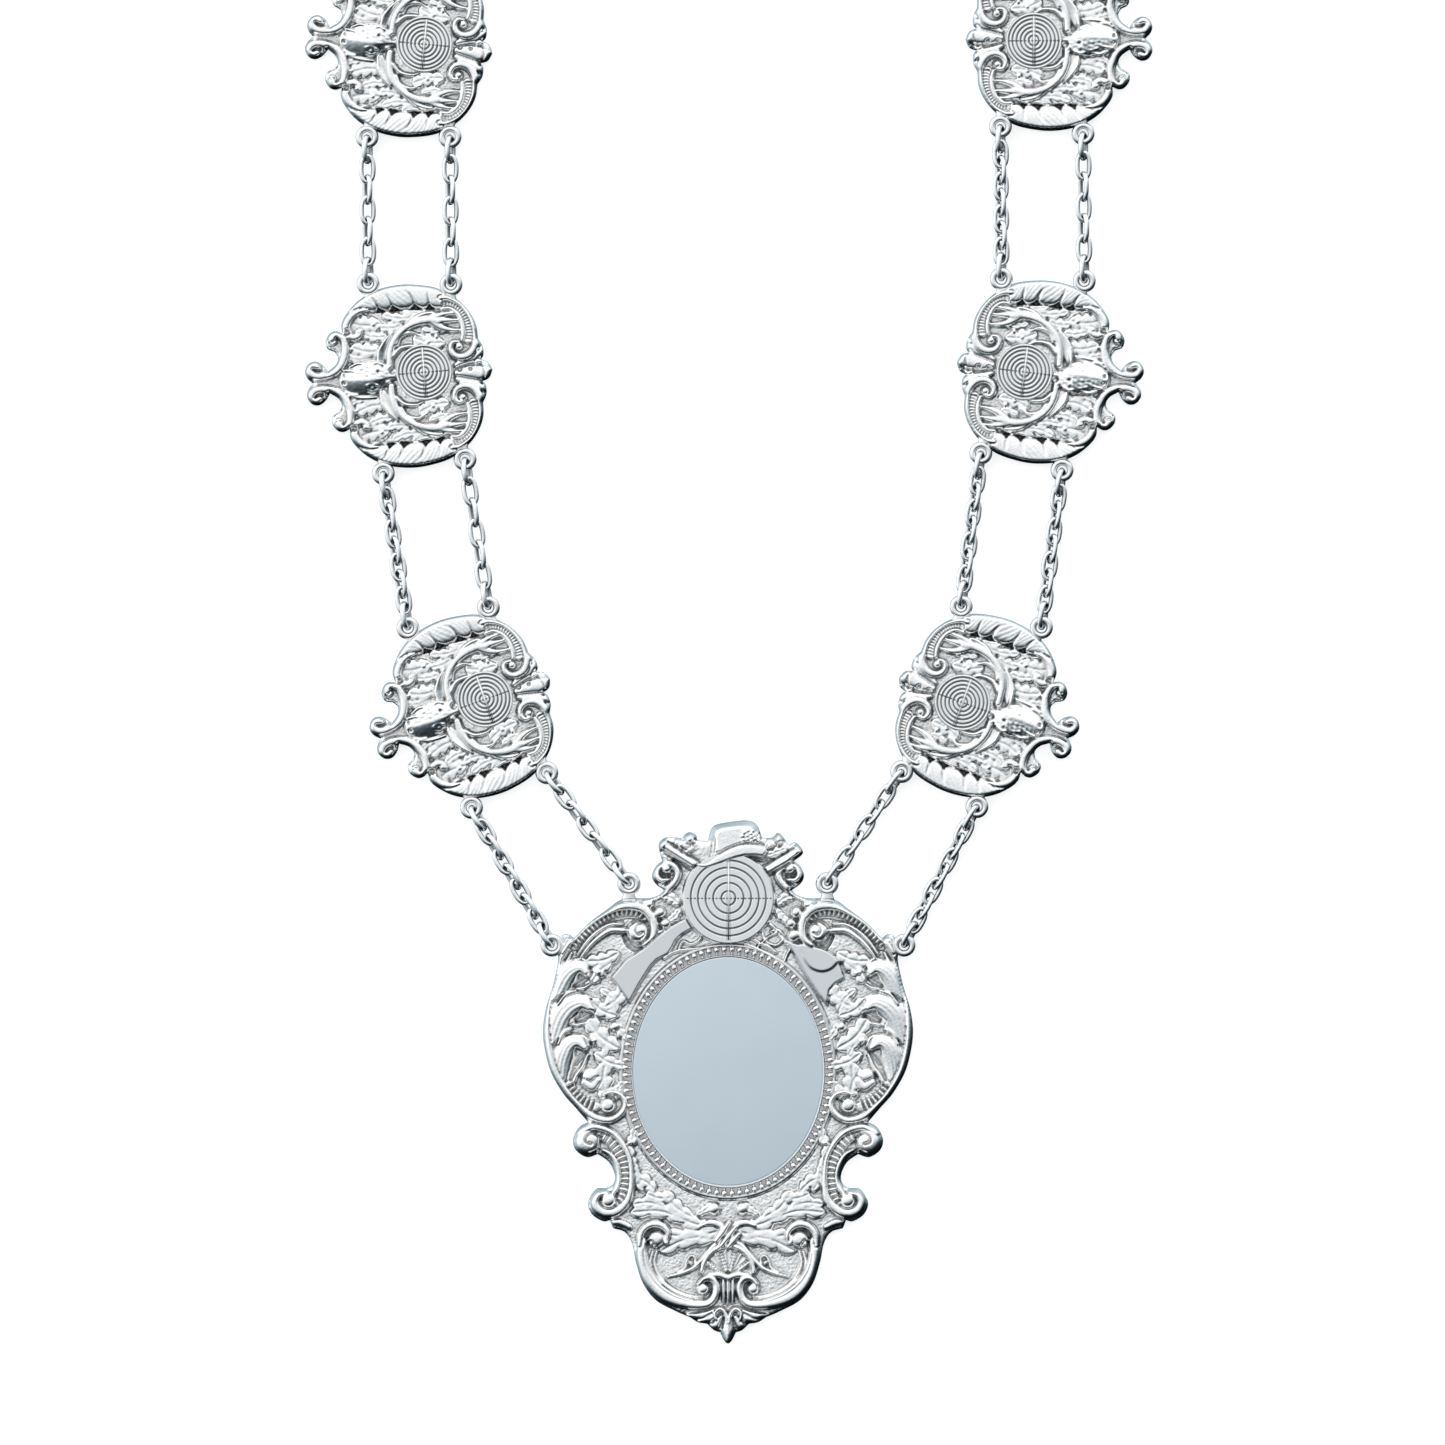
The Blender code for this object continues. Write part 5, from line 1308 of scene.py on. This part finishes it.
def add_chain(wire):
    """Every strand, the joining rings and the back ring."""
    back = np.array((0, BACK_RING_Y))
    for side, route, spin in SIDES:
        left = side == "left"
        starts, ends = [np.array(PENDANT_LUGS[:2] if left else PENDANT_LUGS[2:])], []
        for x, y, turn in route:
            a = math.radians(turn) + spin
            spots = np.array([(x + u * math.cos(a) - v * math.sin(a), y + u * math.sin(a) + v * math.cos(a))
                              for u, v in MEDALLION_LUGS])
            onward, behind = (spots[:2], spots[2:]) if left else (spots[2:], spots[:2])
            starts.append(onward)
            ends.append(behind)
        last = np.array(route[-1][:2])
        toward = unit(back - last)
        joint = last + toward * JOINING_REACH
        ends.append([joint + unit(start - joint) * hook(JOINING_RING) for start in starts[-1]])
        for i, pairs in enumerate(zip(starts, ends)):
            for row, start, end in zip(("outer", "inner"), *pairs):
                add_strand(f"{side}_{row}_strand_{i + 1}", start, end, wire)
        add_strand(f"{side}_end_strand", joint + toward * hook(JOINING_RING),
                   back - toward * hook(BACK_RING), wire)
        name = f"{side}_joining_ring"
        ring = wire_ring(JOINING_RING, 36, 12, (*joint, CHAIN_LEVEL))
        add_piece(name + "_wire", mesh_of(name, [ring]), wire, "chain_silver", name)
    # The back ring lies on the ground with its far side and is held up by the strands
    tilt = -math.asin((CHAIN_LEVEL - BACK_RING[1] * 0.5) / ((BACK_RING[0] - BACK_RING[1]) / 2))
    place = Matrix.Translation((0, BACK_RING_Y * MM, CHAIN_LEVEL * MM)) @ Matrix.Rotation(tilt, 4, "X")
    mesh = mesh_of("back_ring_wire", [wire_ring(BACK_RING, 96, 16)])
    add_piece("back_ring_wire", mesh, wire, "chain_silver", "back_ring", matrix=place)


# Stage


def add_stage():
    """A white floor that glows a little, so that shadows on it stay faint."""
    bpy.ops.mesh.primitive_plane_add(size=FLOOR_SIZE, location=FLOOR_PLACE)
    floor = bpy.context.object
    floor.name = "floor"
    material = bpy.data.materials.new("floor")
    tree = Tree(material)
    shader = tree.nodes["Principled BSDF"].inputs
    for key, value in (("Base Color", FLOOR_GREY), ("Roughness", 0.9), ("Emission Color", (1, 1, 1, 1)),
                       ("Emission Strength", FLOOR_GLOW)):
        shader[key].default_value = value
    floor.data.materials.append(material)
    floor.visible_glossy = False
    floor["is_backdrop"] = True


def add_light():
    """A soft studio: bright towards the top of the picture, dark towards its foot."""
    world = bpy.data.worlds.new("studio")
    bpy.context.scene.world = world
    tree = Tree(world)
    place = tree.add("TexCoord").outputs["Generated"]
    side = tree.add("VectorMath", {0: place, 1: LIGHT_SIDE}, operation="DOT_PRODUCT").outputs["Value"]
    up = tree.add("SeparateXYZ", {0: place}).outputs["Z"]
    # Half-way between the direction and straight up, so that light turns evenly over a round form
    rise = tree.maths("MULTIPLY_ADD", up, 2.0, 2.04)
    tilt = tree.maths("DIVIDE", side, tree.maths("SQRT", rise))
    share = tree.maths("MULTIPLY_ADD", tilt, 0.5, 0.5)
    height = tree.maths("MULTIPLY_ADD", up, 0.5, 0.5)
    colours = {0: tree.ramp(share, LIGHT_RAMP), 1: tree.ramp(height, LOW_LIGHT)}
    light = tree.add("VectorMath", colours, operation="MULTIPLY")
    back = tree.nodes["Background"].inputs
    tree.feed(back["Color"], light.outputs["Vector"])
    back["Strength"].default_value = 1.0
    bpy.context.scene.view_settings.view_transform = "Standard"


def add_camera():
    """Straight above the chain, framed as the photograph is."""
    camera = bpy.data.cameras.new("camera")
    camera.lens = camera.sensor_width * CAMERA_HEIGHT / (PICTURE_SIZE * UNIT)
    camera.clip_end = CAMERA_FAR
    thing = bpy.data.objects.new("camera", camera)
    thing.location = ((PICTURE_SIZE / 2 - PENDANT_CENTRE[0]) * UNIT,
                      (PENDANT_CENTRE[1] - PICTURE_SIZE / 2) * UNIT, CAMERA_HEIGHT)
    bpy.context.scene.collection.objects.link(thing)
    bpy.context.scene.camera = thing


add_camera()
add_stage()
add_light()
silver = cast_silver()
wire = wire_silver()
add_pendant(silver, oval_silver())
add_medallions(silver)
add_chain(wire)

bpy.context.view_layer.update()
[[list(map(float, corner)) for corner in box] for box in (cad_box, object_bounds())]
